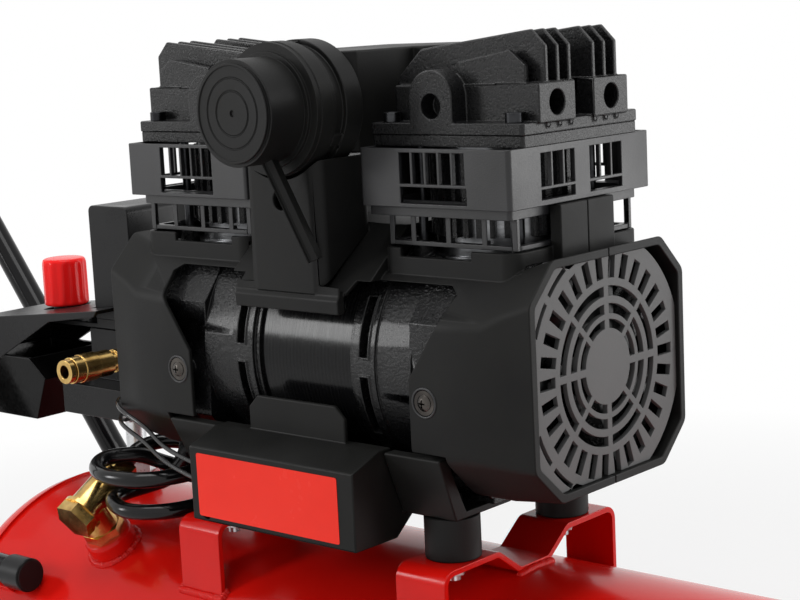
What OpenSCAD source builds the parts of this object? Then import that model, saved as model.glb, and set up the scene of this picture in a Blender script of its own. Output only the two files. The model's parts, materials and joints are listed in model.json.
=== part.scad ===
// Oil-free twin-cylinder air compressor on a horizontal wheeled receiver.
// Lengths are in millimetres. X runs along the receiver towards the wheels, -Y is the front with the
// name plate, +Z is up, and the floor is at zero.

/* [Receiver] */
// Outside diameter of the rolled shell
tank_d = 290; // [280:1:296]
// Length of the rolled shell between its two seams
tank_shell_length = 670; // [640:5:700]
// How far each dished head stands out beyond its seam
tank_dish = 64; // [58:1:70]
// Clear height under the receiver
tank_clearance = 66; // [60:1:74]
// Sheet thickness of shell and heads
tank_wall = 3; // [2.5:0.5:4]

/* [Pump] */
// Length over the two ends of the cowl
cowl_length = 373; // [370:1:378]
// Height of the motor axis above the receiver axis
axis_rise = 284; // [282:1:288]
// Diameter of the stator pack
stator_d = 156; // [150:1:158]
// Distance of each cylinder axis from the middle of the motor
cylinder_x = 110; // [109:1:111]
// Bore of each cylinder
bore_d = 80; // [70:1:80]
// Throw of each eccentric, half the stroke
throw = 9; // [7:1:9]

/* [Cooling] */
// Number of radial slots round each air grille
grille_slots = 30; // [24:2:30]
// Number of blades on each fan
fan_blades = 7; // [5:1:9]

/* [Handle and wheels] */
// Outside diameter of the handle tube
handle_d = 22; // [20:1:24]
// Distance between the centre lines of the handle's legs
handle_width = 240; // [236:1:244]
// Slope of the handle's legs above the horizontal, in degrees
handle_slope = 51.7; // [48:0.1:54]
// Height of the grip above the floor
handle_height = 607; // [560:1:640]
// Diameter of the wheels
wheel_d = 200; // [190:1:204]

/* [Mounts] */
// Diameter of the threaded ports in the heads and the outlet, core size
port_d = 15; // [11.4:0.1:15]
// Diameter of the rubber mounts under the pump
mount_d = 36; // [30:1:38]

/* [Hidden] */
$fn = 64;

gap = 0.4;                                   // running clearance between moving bodies
tank_r = tank_d / 2;
tank_z = tank_clearance + tank_r;
axis_z = tank_z + axis_rise;
seam_x = tank_shell_length / 2;

handle_y = handle_width / 2;
handle_run_z = 105.5;                        // the lower run's height above the receiver axis
handle_end_x = -262;
handle_knee_x = -430;
handle_knee_r = 60;
handle_corner_r = 45;
handle_rise = handle_height - tank_z - handle_run_z;
handle_top_x = handle_knee_x - handle_rise / tan(handle_slope);
grip_d = handle_d + 10;

wheel_r = wheel_d / 2;
wheel_x = 300;
wheel_y = 175;
wheel_width = 42;
axle_z = wheel_r;

reach_left = -handle_top_x + grip_d / 2;
reach_right = max(seam_x + tank_dish, wheel_x + wheel_r);
pump_x = (reach_left - reach_right) / 2;     // puts the origin under the middle of the whole object

half = cowl_length / 2;
shield_r = stator_d / 2 + 5;
stack_half = 41;
cylinder_top = 139.5;
liner_r = bore_d / 2 + 4;
head_half = 60;
filter_z = 164.8;
mount_x = 101;
mount_y = 58;
foot_top = -91;                              // where the rubber mounts meet the cradle
foot_bottom = -119;                          // top face of the pump brackets
strap_t = 4;
strap_w = 40;
shaft_r = 8.5;
fan_x = 164;
fan_w = 13;
grille_x = half - 5.5;

// Frames: the receiver's axis, the motor's axis, and the floor under the pump
module at_tank() { translate([pump_x, 0, tank_z]) children(); }
module at_pump() { translate([pump_x, 0, axis_z]) children(); }
module at_floor() { translate([pump_x, 0, 0]) children(); }
module both_ends() { for (s = [0, 1]) mirror([s, 0, 0]) children(); }
module four_corners(x, y) {
    for (sx = [-1, 1]) for (sy = [-1, 1]) translate([sx * x, sy * y, 0]) children();
}
// A flat outline drawn in Y and Z, swept along X
module along_x(x0, x1) {
    translate([x0, 0, 0]) rotate([90, 0, 90]) linear_extrude(x1 - x0) children();
}
// A flat outline drawn in X and Z, swept along Y
module along_y(y0, y1) {
    translate([0, y1, 0]) rotate([90, 0, 0]) linear_extrude(y1 - y0) children();
}
module rod_x(r, x0, x1) { translate([x0, 0, 0]) rotate([0, 90, 0]) cylinder(r = r, h = x1 - x0); }
module rod_y(r, y0, y1) { translate([0, y0, 0]) rotate([-90, 0, 0]) cylinder(r = r, h = y1 - y0); }
module rod_x_at(y, z, r, x0, x1) { translate([0, y, z]) rod_x(r, x0, x1); }
module ring_x(ro, ri, x0, x1) {
    difference() {
        rod_x(ro, x0, x1);
        rod_x(ri, x0 - 1, x1 + 1);
    }
}
module ring(ro, ri, h) {
    difference() {
        cylinder(r = ro, h = h);
        translate([0, 0, -1]) cylinder(r = ri, h = h + 2);
    }
}
module hexagon(flats, h) { cylinder(d = flats / cos(30), h = h, $fn = 6); }
module rounded_plate(x, y, h, r) {
    linear_extrude(h) union() {
        square([x - 2 * r, y], center = true);
        square([x, y - 2 * r], center = true);
        for (sx = [-1, 1]) for (sy = [-1, 1])
            translate([sx * (x / 2 - r), sy * (y / 2 - r)]) circle(r, $fn = 32);
    }
}

// Bent strip: a centre line with rounded corners, given its thickness
function unit(v) = v / norm(v);
function corner(a, b, c, r, n) =
    let (u = unit(b - a), v = unit(c - b), turn = atan2(u.x * v.y - u.y * v.x, u * v),
         t = r * tan(abs(turn) / 2), s = sign(turn), centre = b - u * t + s * r * [-u.y, u.x])
    [for (k = [0:n]) let (w = turn * k / n) centre - s * r * [-u.y * cos(w) - u.x * sin(w),
                                                           u.x * cos(w) - u.y * sin(w)]];
function bent_line(p, r, n = 6) = [
    p[0],
    for (i = [1:len(p) - 2]) each corner(p[i - 1], p[i], p[i + 1], r, n),
    p[len(p) - 1]
];
function side(p, d) = [
    for (i = [0:len(p) - 1])
        let (u = unit(p[min(i + 1, len(p) - 1)] - p[max(i - 1, 0)])) p[i] + d * [-u.y, u.x]
];
function backwards(p) = [for (i = [len(p) - 1:-1:0]) p[i]];
module bent_strip(p, r, t) {
    line = bent_line(p, r);
    polygon(concat(side(line, t / 2), backwards(side(line, -t / 2))));
}

// A tube swept through chosen points. Each curve passes through its points.
function spline(p, n) = [
    for (i = [0:len(p) - 2]) for (k = [0:n - 1])
        let (a = p[max(i - 1, 0)], b = p[i], c = p[i + 1], d = p[min(i + 2, len(p) - 1)], t = k / n)
            0.5 * (2 * b + (c - a) * t + (2 * a - 5 * b + 4 * c - d) * t * t
                   + (3 * b - a - 3 * c + d) * t * t * t),
    p[len(p) - 1]
];
function across(v, w) = unit(w - (w * v) * v);
function frames(t, w, i = 0) = i == len(t) ? [] :
    let (side_dir = across(t[i], w)) concat([side_dir], frames(t, side_dir, i + 1));
// A round skin along a line of points, with its end faces square to the first and last directions
module skin(line, r, sides, first, last) {
    m = len(line);
    t = [for (i = [0:m - 1]) i == 0 ? unit(first) : i == m - 1 ? unit(last)
                                    : unit(line[i + 1] - line[i - 1])];
    w = frames(t, [0.3, 0.1, 1]);
    ring_points = [for (i = [0:m - 1]) for (j = [0:sides - 1])
        let (a = j * 360 / sides) line[i] + r * (cos(a) * w[i] + sin(a) * cross(t[i], w[i]))];
    walls = [for (i = [0:m - 2]) for (j = [0:sides - 1]) let (k = (j + 1) % sides) each
        [[i * sides + j, (i + 1) * sides + j, (i + 1) * sides + k],
         [i * sides + j, (i + 1) * sides + k, i * sides + k]]];
    ends = [[for (j = [0:sides - 1]) j], [for (j = [sides - 1:-1:0]) (m - 1) * sides + j]];
    polyhedron(ring_points, concat(walls, ends));
}

// ---- Receiver -------------------------------------------------------------------------------------
valve_x = -214;
valve_tilt = 31;                             // how far the check valve leans from upright to the front
riser_x = -270;
drain_x = -205;
plug_d = 44;
// Each socket: its X on the shell, its lean, its diameter and its height above the shell
sockets = [[valve_x, valve_tilt, 37, 14], [riser_x, 0, 34, 12], [drain_x, 180, 26, 8]];

module on_shell(x, lean) { translate([x, 0, 0]) rotate([lean, 0, 0]) children(); }

module tank_shell() {
    color("firebrick") at_tank() difference() {
        ring_x(tank_r, tank_r - tank_wall, -seam_x, seam_x);
        for (s = sockets) on_shell(s[0], s[1]) cylinder(d = s[2], h = tank_r + 40);
    }
}

knuckle_r = 35;
knuckle_c = tank_r - knuckle_r;
crown_r = (knuckle_c * knuckle_c + tank_dish * tank_dish - knuckle_r * knuckle_r)
    / (2 * (tank_dish - knuckle_r));
module dish_profile(t) {
    intersection() {
        square([tank_r, tank_dish]);
        union() {
            intersection() {
                translate([0, tank_dish - crown_r]) circle(crown_r - t, $fn = 128);
                polygon([[0, tank_dish - crown_r], [3 * knuckle_c, 2 * (crown_r - tank_dish)],
                         [0, 2 * crown_r]]);
            }
            translate([knuckle_c, 0]) circle(knuckle_r - t);
            polygon([[0, tank_dish - crown_r], [knuckle_c, 0], [0, 1]]);
        }
    }
}
module dished_head(hole) {
    skirt = 14;
    weld = 2.2;
    translate([seam_x, 0, 0]) rotate([0, 90, 0]) difference() {
        union() {
            difference() {
                union() {
                    rotate_extrude($fn = 128) dish_profile(0);
                    cylinder(r1 = tank_r + weld, r2 = tank_r - 1, h = 2 * weld, $fn = 128);
                }
                rotate_extrude($fn = 128) dish_profile(tank_wall);
            }
            translate([0, 0, -skirt]) ring(tank_r - tank_wall, tank_r - 2 * tank_wall, skirt + 6);
        }
        if (hole > 0) cylinder(d = hole, h = tank_dish + 5);
    }
}
module tank_head_left() { color("firebrick") at_tank() mirror([1, 0, 0]) dished_head(plug_d); }
module tank_head_right() { color("firebrick") at_tank() dished_head(0); }

module weld_socket(d, h, bore) {
    difference() {
        union() {
            translate([0, 0, tank_r - tank_wall - 2]) cylinder(d = d, h = tank_wall + 2 + h - 2);
            translate([0, 0, tank_r + h - 2]) cylinder(d1 = d, d2 = d - 3, h = 2);
        }
        translate([0, 0, tank_r - 20]) cylinder(d = bore, h = 60);
    }
}
module tank_sockets() {
    color("firebrick") at_tank() {
        for (s = sockets) on_shell(s[0], s[1]) weld_socket(s[2], s[3], s[2] - 14);
        translate([-seam_x - tank_dish, 0, 0]) rotate([0, -90, 0]) difference() {
            translate([0, 0, -8]) cylinder(d = plug_d, h = 16);
            translate([0, 0, -9]) cylinder(d = plug_d - 12, h = 18);
        }
    }
}
module inspection_plug() {
    color("goldenrod") at_tank() translate([-seam_x - tank_dish - 8, 0, 0]) rotate([0, -90, 0]) {
        translate([0, 0, -14]) cylinder(d = plug_d - 12.2, h = 14);
        difference() {
            hexagon(36, 9);
            translate([0, 0, 5]) hexagon(17, 5);
        }
    }
}

// ---- Drain cock under the receiver ----------------------------------------------------------------
drain_axis = 27;                             // depth of its spindle below the shell
module drain_valve() {
    color("goldenrod") at_tank() translate([drain_x, 0, -tank_r]) difference() {
        union() {
            translate([0, 0, -9]) cylinder(d = 11.8, h = 12);
            translate([0, 0, -16]) hexagon(19, 7.9);
            translate([0, 0, -40]) cylinder(d = 13, h = 24);
            translate([0, 0, -drain_axis]) rod_y(7, -11, 0);
        }
        translate([0, 0, -41]) cylinder(d = 6, h = 46);
        translate([0, 0, -drain_axis]) rod_y(3.05, -12, 1);
    }
}
module drain_knob() {
    color("black") at_tank() translate([drain_x, 0, -tank_r - drain_axis]) {
        rod_y(3, -22, -7.5);
        difference() {
            rod_y(9, -26, -11 - gap);
            for (a = [0:45:315]) rotate([0, a, 0]) translate([9.6, -27, 0]) rotate([-90, 0, 0])
                cylinder(r = 1.8, h = 16, $fn = 24);
            rod_y(3, -22, -11);
        }
    }
}

// ---- Running gear ---------------------------------------------------------------------------------
ear_y = 148;
module cradle_ribs(x, spread, width, y) {
    for (s = [-1, 1]) difference() {
        along_x(x + s * spread - 2, x + s * spread + 2)
            translate([-y, -tank_r]) square([2 * y, width]);
        rod_x(tank_r, x - 60, x + 60);
    }
}
module wheel_bracket() {
    low = -tank_r - strap_t / 2;
    top = axle_z - tank_z + 20;
    color("firebrick") at_tank() difference() {
        union() {
            along_x(wheel_x - 30, wheel_x + 30)
                bent_strip([[-ear_y, top], [-ear_y, low], [ear_y, low], [ear_y, top]], 12, strap_t);
            cradle_ribs(wheel_x, 22, 26, 82);
        }
        translate([wheel_x, 0, axle_z - tank_z]) rod_y(6.1, -ear_y - 5, ear_y + 5);
        for (s = [-1, 1]) for (t = [-1, 1]) translate([wheel_x + t * 34, s * ear_y, top + 4])
            rotate([0, 45, 0]) cube([24, 12, 24], center = true);
    }
}
module support_foot() {
    low = -tank_r - strap_t / 2;
    flat_z = 20 + strap_t / 2 - tank_z;
    color("firebrick") at_tank() difference() {
        union() {
            along_x(-320, -280)
                bent_strip([[-136, flat_z], [-92, flat_z], [-62, low], [62, low], [92, flat_z],
                            [136, flat_z]], 10, strap_t);
            cradle_ribs(-300, 14, 18, 62);
        }
        for (s = [-1, 1]) translate([-300, s * 114, flat_z - 5]) cylinder(r = 4.2, h = 10);
    }
}
module rubber_feet() {
    color("black") at_floor() for (s = [-1, 1]) translate([-300, s * 114, 0]) {
        difference() {
            union() {
                cylinder(r = 19, h = 3);
                translate([0, 0, 3]) cylinder(r1 = 19, r2 = 17, h = 17);
            }
            translate([0, 0, -1]) cylinder(r = 8, h = 9);
            cylinder(r = 4.2, h = 30);
        }
    }
}

hub_bore = 6.05;
module wheel_hub(s) {
    translate([wheel_x, s * wheel_y, axle_z]) rotate([-90 * s, 0, 0]) difference() {
        union() {
            translate([0, 0, -22]) cylinder(r = 17, h = 42);
            difference() {
                translate([0, 0, -16]) cylinder(r = wheel_r - 22, h = 32);
                translate([0, 0, 4]) cylinder(r1 = 44, r2 = wheel_r - 28, h = 12.1);
                translate([0, 0, -16.1]) cylinder(r1 = wheel_r - 28, r2 = 44, h = 12.1);
            }
            for (a = [0:60:300]) rotate([0, 0, a]) translate([14, -2, -13]) cube([wheel_r - 40, 4, 26]);
        }
        translate([0, 0, -30]) cylinder(r = hub_bore, h = 60);
        for (a = [30:60:330]) rotate([0, 0, a]) translate([44, 0, -20]) cylinder(r = 11, h = 40);
    }
}
module wheel_hub_front() { color("dimgray") at_floor() wheel_hub(-1); }
module wheel_hub_rear() { color("dimgray") at_floor() wheel_hub(1); }
module tyre(s) {
    translate([wheel_x, s * wheel_y, axle_z]) rotate([-90 * s, 0, 0]) difference() {
        rotate_extrude($fn = 96) intersection() {
            translate([wheel_r - 22, 0]) square([44, wheel_width], center = true);
            translate([wheel_r - 30, 0]) circle(30);
        }
        translate([0, 0, -30]) cylinder(r = wheel_r - 22, h = 60);
        for (g = [-9, 9]) translate([0, 0, g - 1]) ring(wheel_r + 2, wheel_r - 3, 2);
    }
}
module tyre_front() { color("black") at_floor() tyre(-1); }
module tyre_rear() { color("black") at_floor() tyre(1); }
module wheel_axles() {
    color("silver") at_floor() for (s = [0, 1]) translate([wheel_x, 0, axle_z]) mirror([0, s, 0]) {
        rod_y(6, ear_y - 10, wheel_y + 27);
        translate([0, ear_y - 10, 0]) rotate([-90, 0, 0]) hexagon(18, 8);
        translate([0, wheel_y + 20 + gap, 0]) rotate([-90, 0, 0]) {
            cylinder(r = 12, h = 2);
            translate([0, 0, 2]) hexagon(18, 6);
        }
    }
}

// ---- Handle ---------------------------------------------------------------------------------------
handle_lean = atan2(handle_y, handle_run_z);
handle_bolt_x = [-322, -298];
// Centre line of one side: lower run, knee, slope, and the corner into the crossbar
handle_bend = handle_knee_r * tan(handle_slope / 2);
handle_straight = handle_rise / sin(handle_slope) - handle_corner_r;
handle_side = [
    [handle_end_x, -handle_y, handle_run_z],
    for (k = [0:9]) let (a = -90 - handle_slope * k / 9)
        [handle_knee_x + handle_bend + handle_knee_r * cos(a), -handle_y,
         handle_run_z + handle_knee_r * (1 + sin(a))],
    for (k = [0:9]) let (a = 10 * k, u = handle_straight + handle_corner_r * sin(a))
        [handle_knee_x - u * cos(handle_slope), handle_corner_r * (1 - cos(a)) - handle_y,
         handle_run_z + u * sin(handle_slope)]
];
handle_path = concat(handle_side, [for (p = backwards(handle_side)) [p.x, -p.y, p.z]]);
module handle_bolt_places() {
    for (s = [-1, 1]) for (x = handle_bolt_x) on_shell(x, s * handle_lean)
        translate([0, 0, norm([handle_y, handle_run_z])]) children();
}
module handle_tube() {
    color("black") at_tank() difference() {
        skin(handle_path, handle_d / 2, 24, [-1, 0, 0], [1, 0, 0]);
        handle_bolt_places() cylinder(r = 3.2, h = 40, center = true);
    }
}
module handle_grip() {
    color("dimgray") at_tank() translate([handle_top_x, 0, handle_rise + handle_run_z]) difference() {
        union() {
            rod_y(grip_d / 2 - 2, -72, 72);
            for (y = [-72, 66]) translate([0, y, 0]) rod_y(grip_d / 2, 0, 6);
            for (k = [-7:7]) translate([0, k * 8 - 2, 0]) rod_y(grip_d / 2 - 1, 0, 4);
        }
        rod_y(handle_d / 2, -80, 80);
    }
}
module handle_caps() {
    color("black") at_tank() for (s = [-1, 1]) translate([handle_end_x, s * handle_y, handle_run_z])
        difference() {
            union() {
                rod_x(handle_d / 2 + 1.7, -19, 2.5);
                rod_x(handle_d / 2 + 0.7, 2, 4);
            }
            rod_x(handle_d / 2, -25, 0);
        }
}
module handle_saddles() {
    color("firebrick") at_tank() difference() {
        for (s = [-1, 1]) on_shell(-310, s * handle_lean)
            translate([-24, -12, tank_r - 6]) cube([48, 24, 13]);
        rod_x(tank_r, -400, -200, $fn = 240);
        for (s = [-1, 1]) translate([0, s * handle_y, handle_run_z])
            rod_x(handle_d / 2, -400, -200, $fn = 128);
        handle_bolt_places() cylinder(r = 3, h = 40, center = true);
    }
}
module handle_bolts() {
    color("silver") at_tank() difference() {
        handle_bolt_places() {
            translate([0, 0, -20]) cylinder(r = 3, h = 37);
            translate([0, 0, handle_d / 2]) {
                cylinder(r = 6, h = 1.2);
                translate([0, 0, 1.2]) hexagon(10, 4.5);
            }
        }
        rod_x(tank_r, -400, -200);
    }
}

// ---- Pump mounting --------------------------------------------------------------------------------
module pump_bracket() {
    top = foot_bottom + axis_rise - strap_t / 2;
    low = tank_r + strap_t / 2;
    difference() {
        along_x(mount_x - strap_w / 2, mount_x + strap_w / 2)
            bent_strip([[-90, 100], [-90, top], [-37, top], [-15, low], [15, low], [37, top],
                        [90, top], [90, 100]], 8, strap_t);
        rod_x(tank_r, 0, 200);
        for (s = [-1, 1]) translate([mount_x, s * mount_y, top - 5]) cylinder(r = 4.2, h = 10);
    }
}
module pump_brackets() { color("firebrick") at_tank() both_ends() pump_bracket(); }
module rubber_mounts() {
    color("black") at_pump() four_corners(mount_x, mount_y) difference() {
        translate([0, 0, foot_bottom]) cylinder(d = mount_d, h = foot_top - foot_bottom);
        translate([0, 0, foot_bottom - 1]) cylinder(r = 4, h = 11);
        translate([0, 0, foot_top - 9]) cylinder(r = 4, h = 11);
    }
}
module mount_bolts() {
    color("silver") at_pump() four_corners(mount_x, mount_y) {
        translate([0, 0, foot_bottom - 16]) cylinder(r = 4, h = 26);
        translate([0, 0, foot_bottom - strap_t - 1.6]) cylinder(r = 8.5, h = 1.6);
        translate([0, 0, foot_bottom - strap_t - 8.1]) hexagon(13, 6.5);
        translate([0, 0, foot_top - 9]) cylinder(r = 4, h = 22);
        translate([0, 0, foot_top + 5]) hexagon(13, 6.5);
    }
}

// The moulded cradle that the pump sits in, with the name plate's box in front
plate_half = 74;
plate_y = 119;
plate_top = -56.4;
plate_low = -106.7;
module foot_tower() {
    hull() {
        translate([76.4, 70, -50]) cube([45, 22, 2]);
        translate([74, 18, foot_top]) cube([44, 56, 2]);
    }
}
module motor_cradle() {
    tab = [[-43.2, -48], [-43.2, -31.5], [-34.8, -23.4], [34.8, -23.4], [43.2, -31.5], [43.2, -48]];
    color("dimgray") at_pump() difference() {
        union() {
            along_x(-plate_half, plate_half) polygon([[-plate_y, plate_low], [-plate_y, plate_top],
                [-93, -47], [-60, -47], [-60, foot_top], [-80, plate_low]]);
            along_y(-91, -87.5) polygon(tab);
            for (s = [0, 1]) mirror([0, s, 0]) both_ends() foot_tower();
            translate([0, 0, foot_top + 2.5]) cube([2 * 112, 2 * 72, 5], center = true);
            along_x(-98, 98) polygon([[62, foot_top], [62, -60], [84, -48], [88, -48], [76, foot_top]]);
        }
        along_x(-plate_half + 3, plate_half - 3) polygon([[-plate_y + 3, plate_low + 3],
            [-plate_y + 3, plate_top - 2], [-93, -50.5], [-88, -50.5], [-88, -80],
            [-80, plate_low + 3]]);
        rod_x(shield_r + 2, -94, 94);
        along_x(-160, 160) polygon([[-82, -52], [-64, foot_top + 5], [64, foot_top + 5], [82, -52],
                                    [82, 0], [-82, 0]]);
        four_corners(mount_x, mount_y) {
            translate([0, 0, foot_top - 1]) cylinder(r = 4, h = 30);
            translate([0, 0, foot_top + 5]) cylinder(r = 8, h = 10);
        }
        translate([-60.5, -plate_y - 1, -101.5]) rotate([-90, 0, 0]) cylinder(r = 3.4, h = 12);
    }
}

// ---- Motor and crankcases -------------------------------------------------------------------------
crank_x0 = 92;                               // inner face of each crankcase
crank_x1 = 150;                              // outer face
shelf_z = 66;                                // the machined seat under each cylinder
module stator() {
    color("black") at_pump() ring_x(stator_d / 2, 46, -stack_half, stack_half);
}
module shield_slots(n, x, w, arc) {
    for (k = [0:n - 1]) rotate([k * 360 / n + 3, 0, 0]) rotate([90, 0, 90])
        translate([0, 0, x]) rotate_extrude(angle = arc) translate([shield_r - 12, 0]) square([20, w]);
}
// A raised lip round each slot
module shield_rims(n, x, w, arc) {
    for (k = [0:n - 1]) rotate([k * 360 / n + 2, 0, 0]) rotate([90, 0, 90])
        translate([0, 0, x - 1.5]) rotate_extrude(angle = arc + 2)
            translate([shield_r - 2, 0]) square([3, w + 3]);
}
module crank_outline() {
    polygon([[-80, -46], [-80, 33], [-66, 50], [-56, shelf_z], [56, shelf_z], [66, 50], [80, 33],
             [80, -46], [46, -82], [-46, -82]]);
}
screw_x = 110.8;
screw_z = -13.1;
module at_tie_rods() {
    for (s = [-1, 1]) for (t = [-1, 1]) translate([cylinder_x + s * 38, t * 38, 0]) children();
}
module end_shield() {
    difference() {
        union() {
            rod_x(shield_r - 2.5, stack_half, stack_half + 4);
            rod_x(shield_r, stack_half + 4, 64);
            rod_x(shield_r - 1.5, 64, crank_x0 + 1);
            along_x(crank_x0, crank_x1) crank_outline();
            shield_rims(10, 52, 6.5, 27);
            for (s = [-1, 1]) translate([mount_x - 8, s * 32 - 12, -86]) cube([44, 24, 14]);
            at_tie_rods() translate([0, 0, shelf_z - 8]) cylinder(r = 7.5, h = 18);
            for (s = [-1, 1]) mirror([0, s == 1 ? 1 : 0, 0]) translate([screw_x, 0, screw_z])
                rod_y(6, -87.8, -79);
            translate([crank_x1 - 1, -55, -62]) cube([12, 13, 15]);
        }
        rod_x(shield_r - 7, stack_half - 1, 80);
        translate([124.6, -60, -90]) cube([30, 120, 17.4]);
        shield_slots(10, 52, 6.5, 27);
        rod_x(54, 98, crank_x1 - 6);
        translate([cylinder_x, 0, 30]) cylinder(r = 36, h = 60);
        translate([cylinder_x, 0, shelf_z - 4]) cylinder(r = liner_r + 0.05, h = 10);
        translate([cylinder_x, 0, shelf_z]) cylinder(r = liner_r + 3.3, h = 20);
        rod_x(23.5, 70, 94);
        rod_x(20, crank_x1 - 4, 160);
        rod_x(12, 70, 160);
        at_tie_rods() translate([0, 0, 50]) cylinder(r = 3.1, h = 40);
        for (s = [-1, 1]) translate([screw_x, 0, screw_z]) rod_y(2.05, s < 0 ? -95 : 72, s < 0 ? -72 : 95);
        translate([crank_x1 + 5.5, -48, -63]) cylinder(r = 3.5, h = 12);
    }
    difference() {
        rod_x(31, 76, 82);
        rod_x(23.5, 70, 90);
    }
    difference() {
        rod_x(54, 78, 80.1);
        rod_x(30, 70, 90);
    }
}
module end_shield_left() { color("dimgray") at_pump() mirror([1, 0, 0]) end_shield(); }
module end_shield_right() { color("dimgray") at_pump() end_shield(); }

module motor_bearings() {
    color("silver") at_pump() both_ends() {
        ring_x(23.5, shaft_r + 0.05, 80.2, 94);
        ring_x(20, shaft_r + 0.05, crank_x1 - 4, crank_x1 + 6);
    }
}
module rotor_shaft() {
    color("silver") at_pump() {
        rod_x(shaft_r, -fan_x - 14, fan_x + 14);
        rod_x(44.8, -stack_half + 1, stack_half - 1);
        both_ends() translate([0, throw, 0]) rod_x(16, cylinder_x - 8, cylinder_x + 8);
    }
}
module fan() {
    tip = 66;
    difference() {
        union() {
            rod_x(21, fan_x, fan_x + fan_w);
            for (k = [0:fan_blades - 1]) rotate([k * 360 / fan_blades, 0, 0])
                translate([fan_x + fan_w / 2, 0, 18]) linear_extrude(tip - 18) intersection() {
                    translate([-14, 14]) difference() {
                        circle(22.5);
                        circle(20.5);
                    }
                    translate([-7, -10]) square([14, 26]);
                }
        }
        rod_x(shaft_r, fan_x - 1, fan_x + fan_w + 1);
    }
}
module fans() { color("dimgray") at_pump() both_ends() fan(); }

module cylinder_liners() {
    color("silver") at_pump() both_ends() translate([cylinder_x, 0, shelf_z - 4]) difference() {
        union() {
            ring(liner_r, bore_d / 2, cylinder_top - shelf_z + 4);
            translate([0, 0, 4]) ring(liner_r + 3, liner_r - 1, 4);
        }
    }
}
// Piston and rod are one piece on an oil-free pump. Its big end is opened out round the eccentric.
module wobble_pistons() {
    crown = 118;
    color("silver") at_pump() both_ends() translate([cylinder_x, 0, 0]) difference() {
        union() {
            rod_x(31, -8, 8);
            along_y(-7, 7) polygon([[-8, 20], [-8, crown - 20], [-16, crown - 9], [16, crown - 9],
                                    [8, crown - 20], [8, 20]]);
            translate([0, 0, crown - 10]) cylinder(r = bore_d / 2 - 1, h = 10);
            translate([0, 0, crown - 6]) cylinder(r = bore_d / 2 - 0.1, h = 2);
        }
        rod_x(16 + throw + 0.6, -9, 9);
    }
}

// ---- Cylinder tops --------------------------------------------------------------------------------
// Drawn on the right-hand cylinder; the left pump end is its mirror image.
guide_low = 97;
module air_guide() {
    cx = cylinder_x;
    difference() {
        union() {
            translate([cx, 0, 103.5]) rounded_plate(118, 146, cylinder_top - 103.5, 3);
            translate([cx - 3, 0, guide_low]) rounded_plate(112, 132, 6.6, 3);
            for (x = [cx - 47.5, cx + 49]) for (y = [-60, -22, 19, 57]) translate([x, y, 78])
                cube([4, 3, guide_low - 77.9]);
            for (x = [cx - 30, cx - 2, cx + 26]) for (s = [-1, 1]) translate([x, s * 58 - 2, 78])
                cube([4, 4, guide_low - 77.9]);
            translate([cx + 2.7, 0, 78]) difference() {
                rounded_plate(100.6, 120, 3, 6);
                translate([0, 0, -1]) rounded_plate(91.6, 111, 5, 4);
            }
        }
        rod_x(shield_r + 0.5, 40, crank_x0 + 1);
        translate([cx, 0, 103.5 - 20]) rounded_plate(100, 118, 60, 10);
        translate([cx, 0, 106.5]) rounded_plate(112, 140, 60, 2);
        // front and back windows: an open strip with a ribbed grid above it
        for (s = [-1, 1]) {
            translate([cx - 26, s * 73 - 10, 106]) cube([52, 20, 10]);
            for (k = [0:4]) translate([cx - 26 + k * 10.6, s * 73 - 10, 118]) cube([8.6, 20, 19]);
        }
        // end windows, two on each end
        for (y = [-42, 8]) {
            translate([cx + 50, y, 107]) cube([20, 34, 6]);
            for (k = [0:2]) translate([cx + 50, y + k * 12, 115]) cube([20, 10, 20]);
        }
    }
}
module air_guides() { color("dimgray") at_pump() both_ends() air_guide(); }

head_low = 146.5;
head_flange = 154;
head_top = 176;
module at_head_bolts() {
    for (x = [-48, 48]) for (y = [-52, 52]) translate([cylinder_x + x, y, 0]) children();
}
module valve_plates() {
    color("silver") at_pump() both_ends() difference() {
        translate([cylinder_x, 0, cylinder_top]) rounded_plate(119, 119, head_low - cylinder_top, 3);
        at_head_bolts() translate([0, 0, 130]) cylinder(r = 3.1, h = 30);
        at_tie_rods() translate([0, 0, 130]) cylinder(r = 3.1, h = 30);
        for (x = [-14, 14]) translate([cylinder_x + x, 0, 130]) cylinder(r = 3, h = 30);
        for (k = [-1:1]) translate([cylinder_x + k * 12, 24, 130]) cylinder(r = 3, h = 30);
    }
}
fin_outline = [[-55, 150], [-55, 180], [-35, 198], [51, 208], [61, 198], [61, 150]];
front_fin = [[0, 152], [0, 190], [40, 196.4], [52, 187], [52, 152]];
module pump_head() {
    translate([cylinder_x, 0, 0]) difference() {
        union() {
            translate([0, 0, head_low]) rounded_plate(120, 120, head_flange - head_low, 3);
            translate([0, 0, head_flange - 1]) rounded_plate(104, 92, head_top - head_flange + 1, 4);
            // fins, three on each side of the middle
            for (y = [-35.5, -24, -12.5, 12.5, 24, 35.5]) along_y(y - 1.7, y + 1.7) polygon(fin_outline);
            along_y(-45, -41) polygon(front_fin);
            // bosses on the outer end, and the port boss at the front
            for (y = [-27.75, 27.75]) translate([30, y - 18.25, head_flange - 1])
                cube([32.5, 36.5, head_top - head_flange + 1.5]);
            rod_x_at(28, 164.5, 11, -57, -48);
            along_y(-60, -44) {
                translate([-27, head_flange - 1]) square([34, 16]);
                translate([-10, head_flange + 15]) circle(17);
            }
        }
        for (y = [-28, 28]) rod_x_at(y, 164.5, port_d / 2, 46, 70);
        translate([38, -9.5, head_flange]) cube([40, 19, 60]);
        rod_x_at(28, 164.5, 7, -60, -36);
        translate([-10, 0, 164]) rod_y(port_d / 2, -70, -48);
        // the two ports inside, joined to the valve plate
        for (y = [-24, 24]) translate([0, y, head_low - 1]) cylinder(r = 14, h = 18);
        for (x = [-48, 48]) for (y = [-52, 52]) translate([x, y, head_low - 1])
            cylinder(r = 3.1, h = 12);
    }
}
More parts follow.
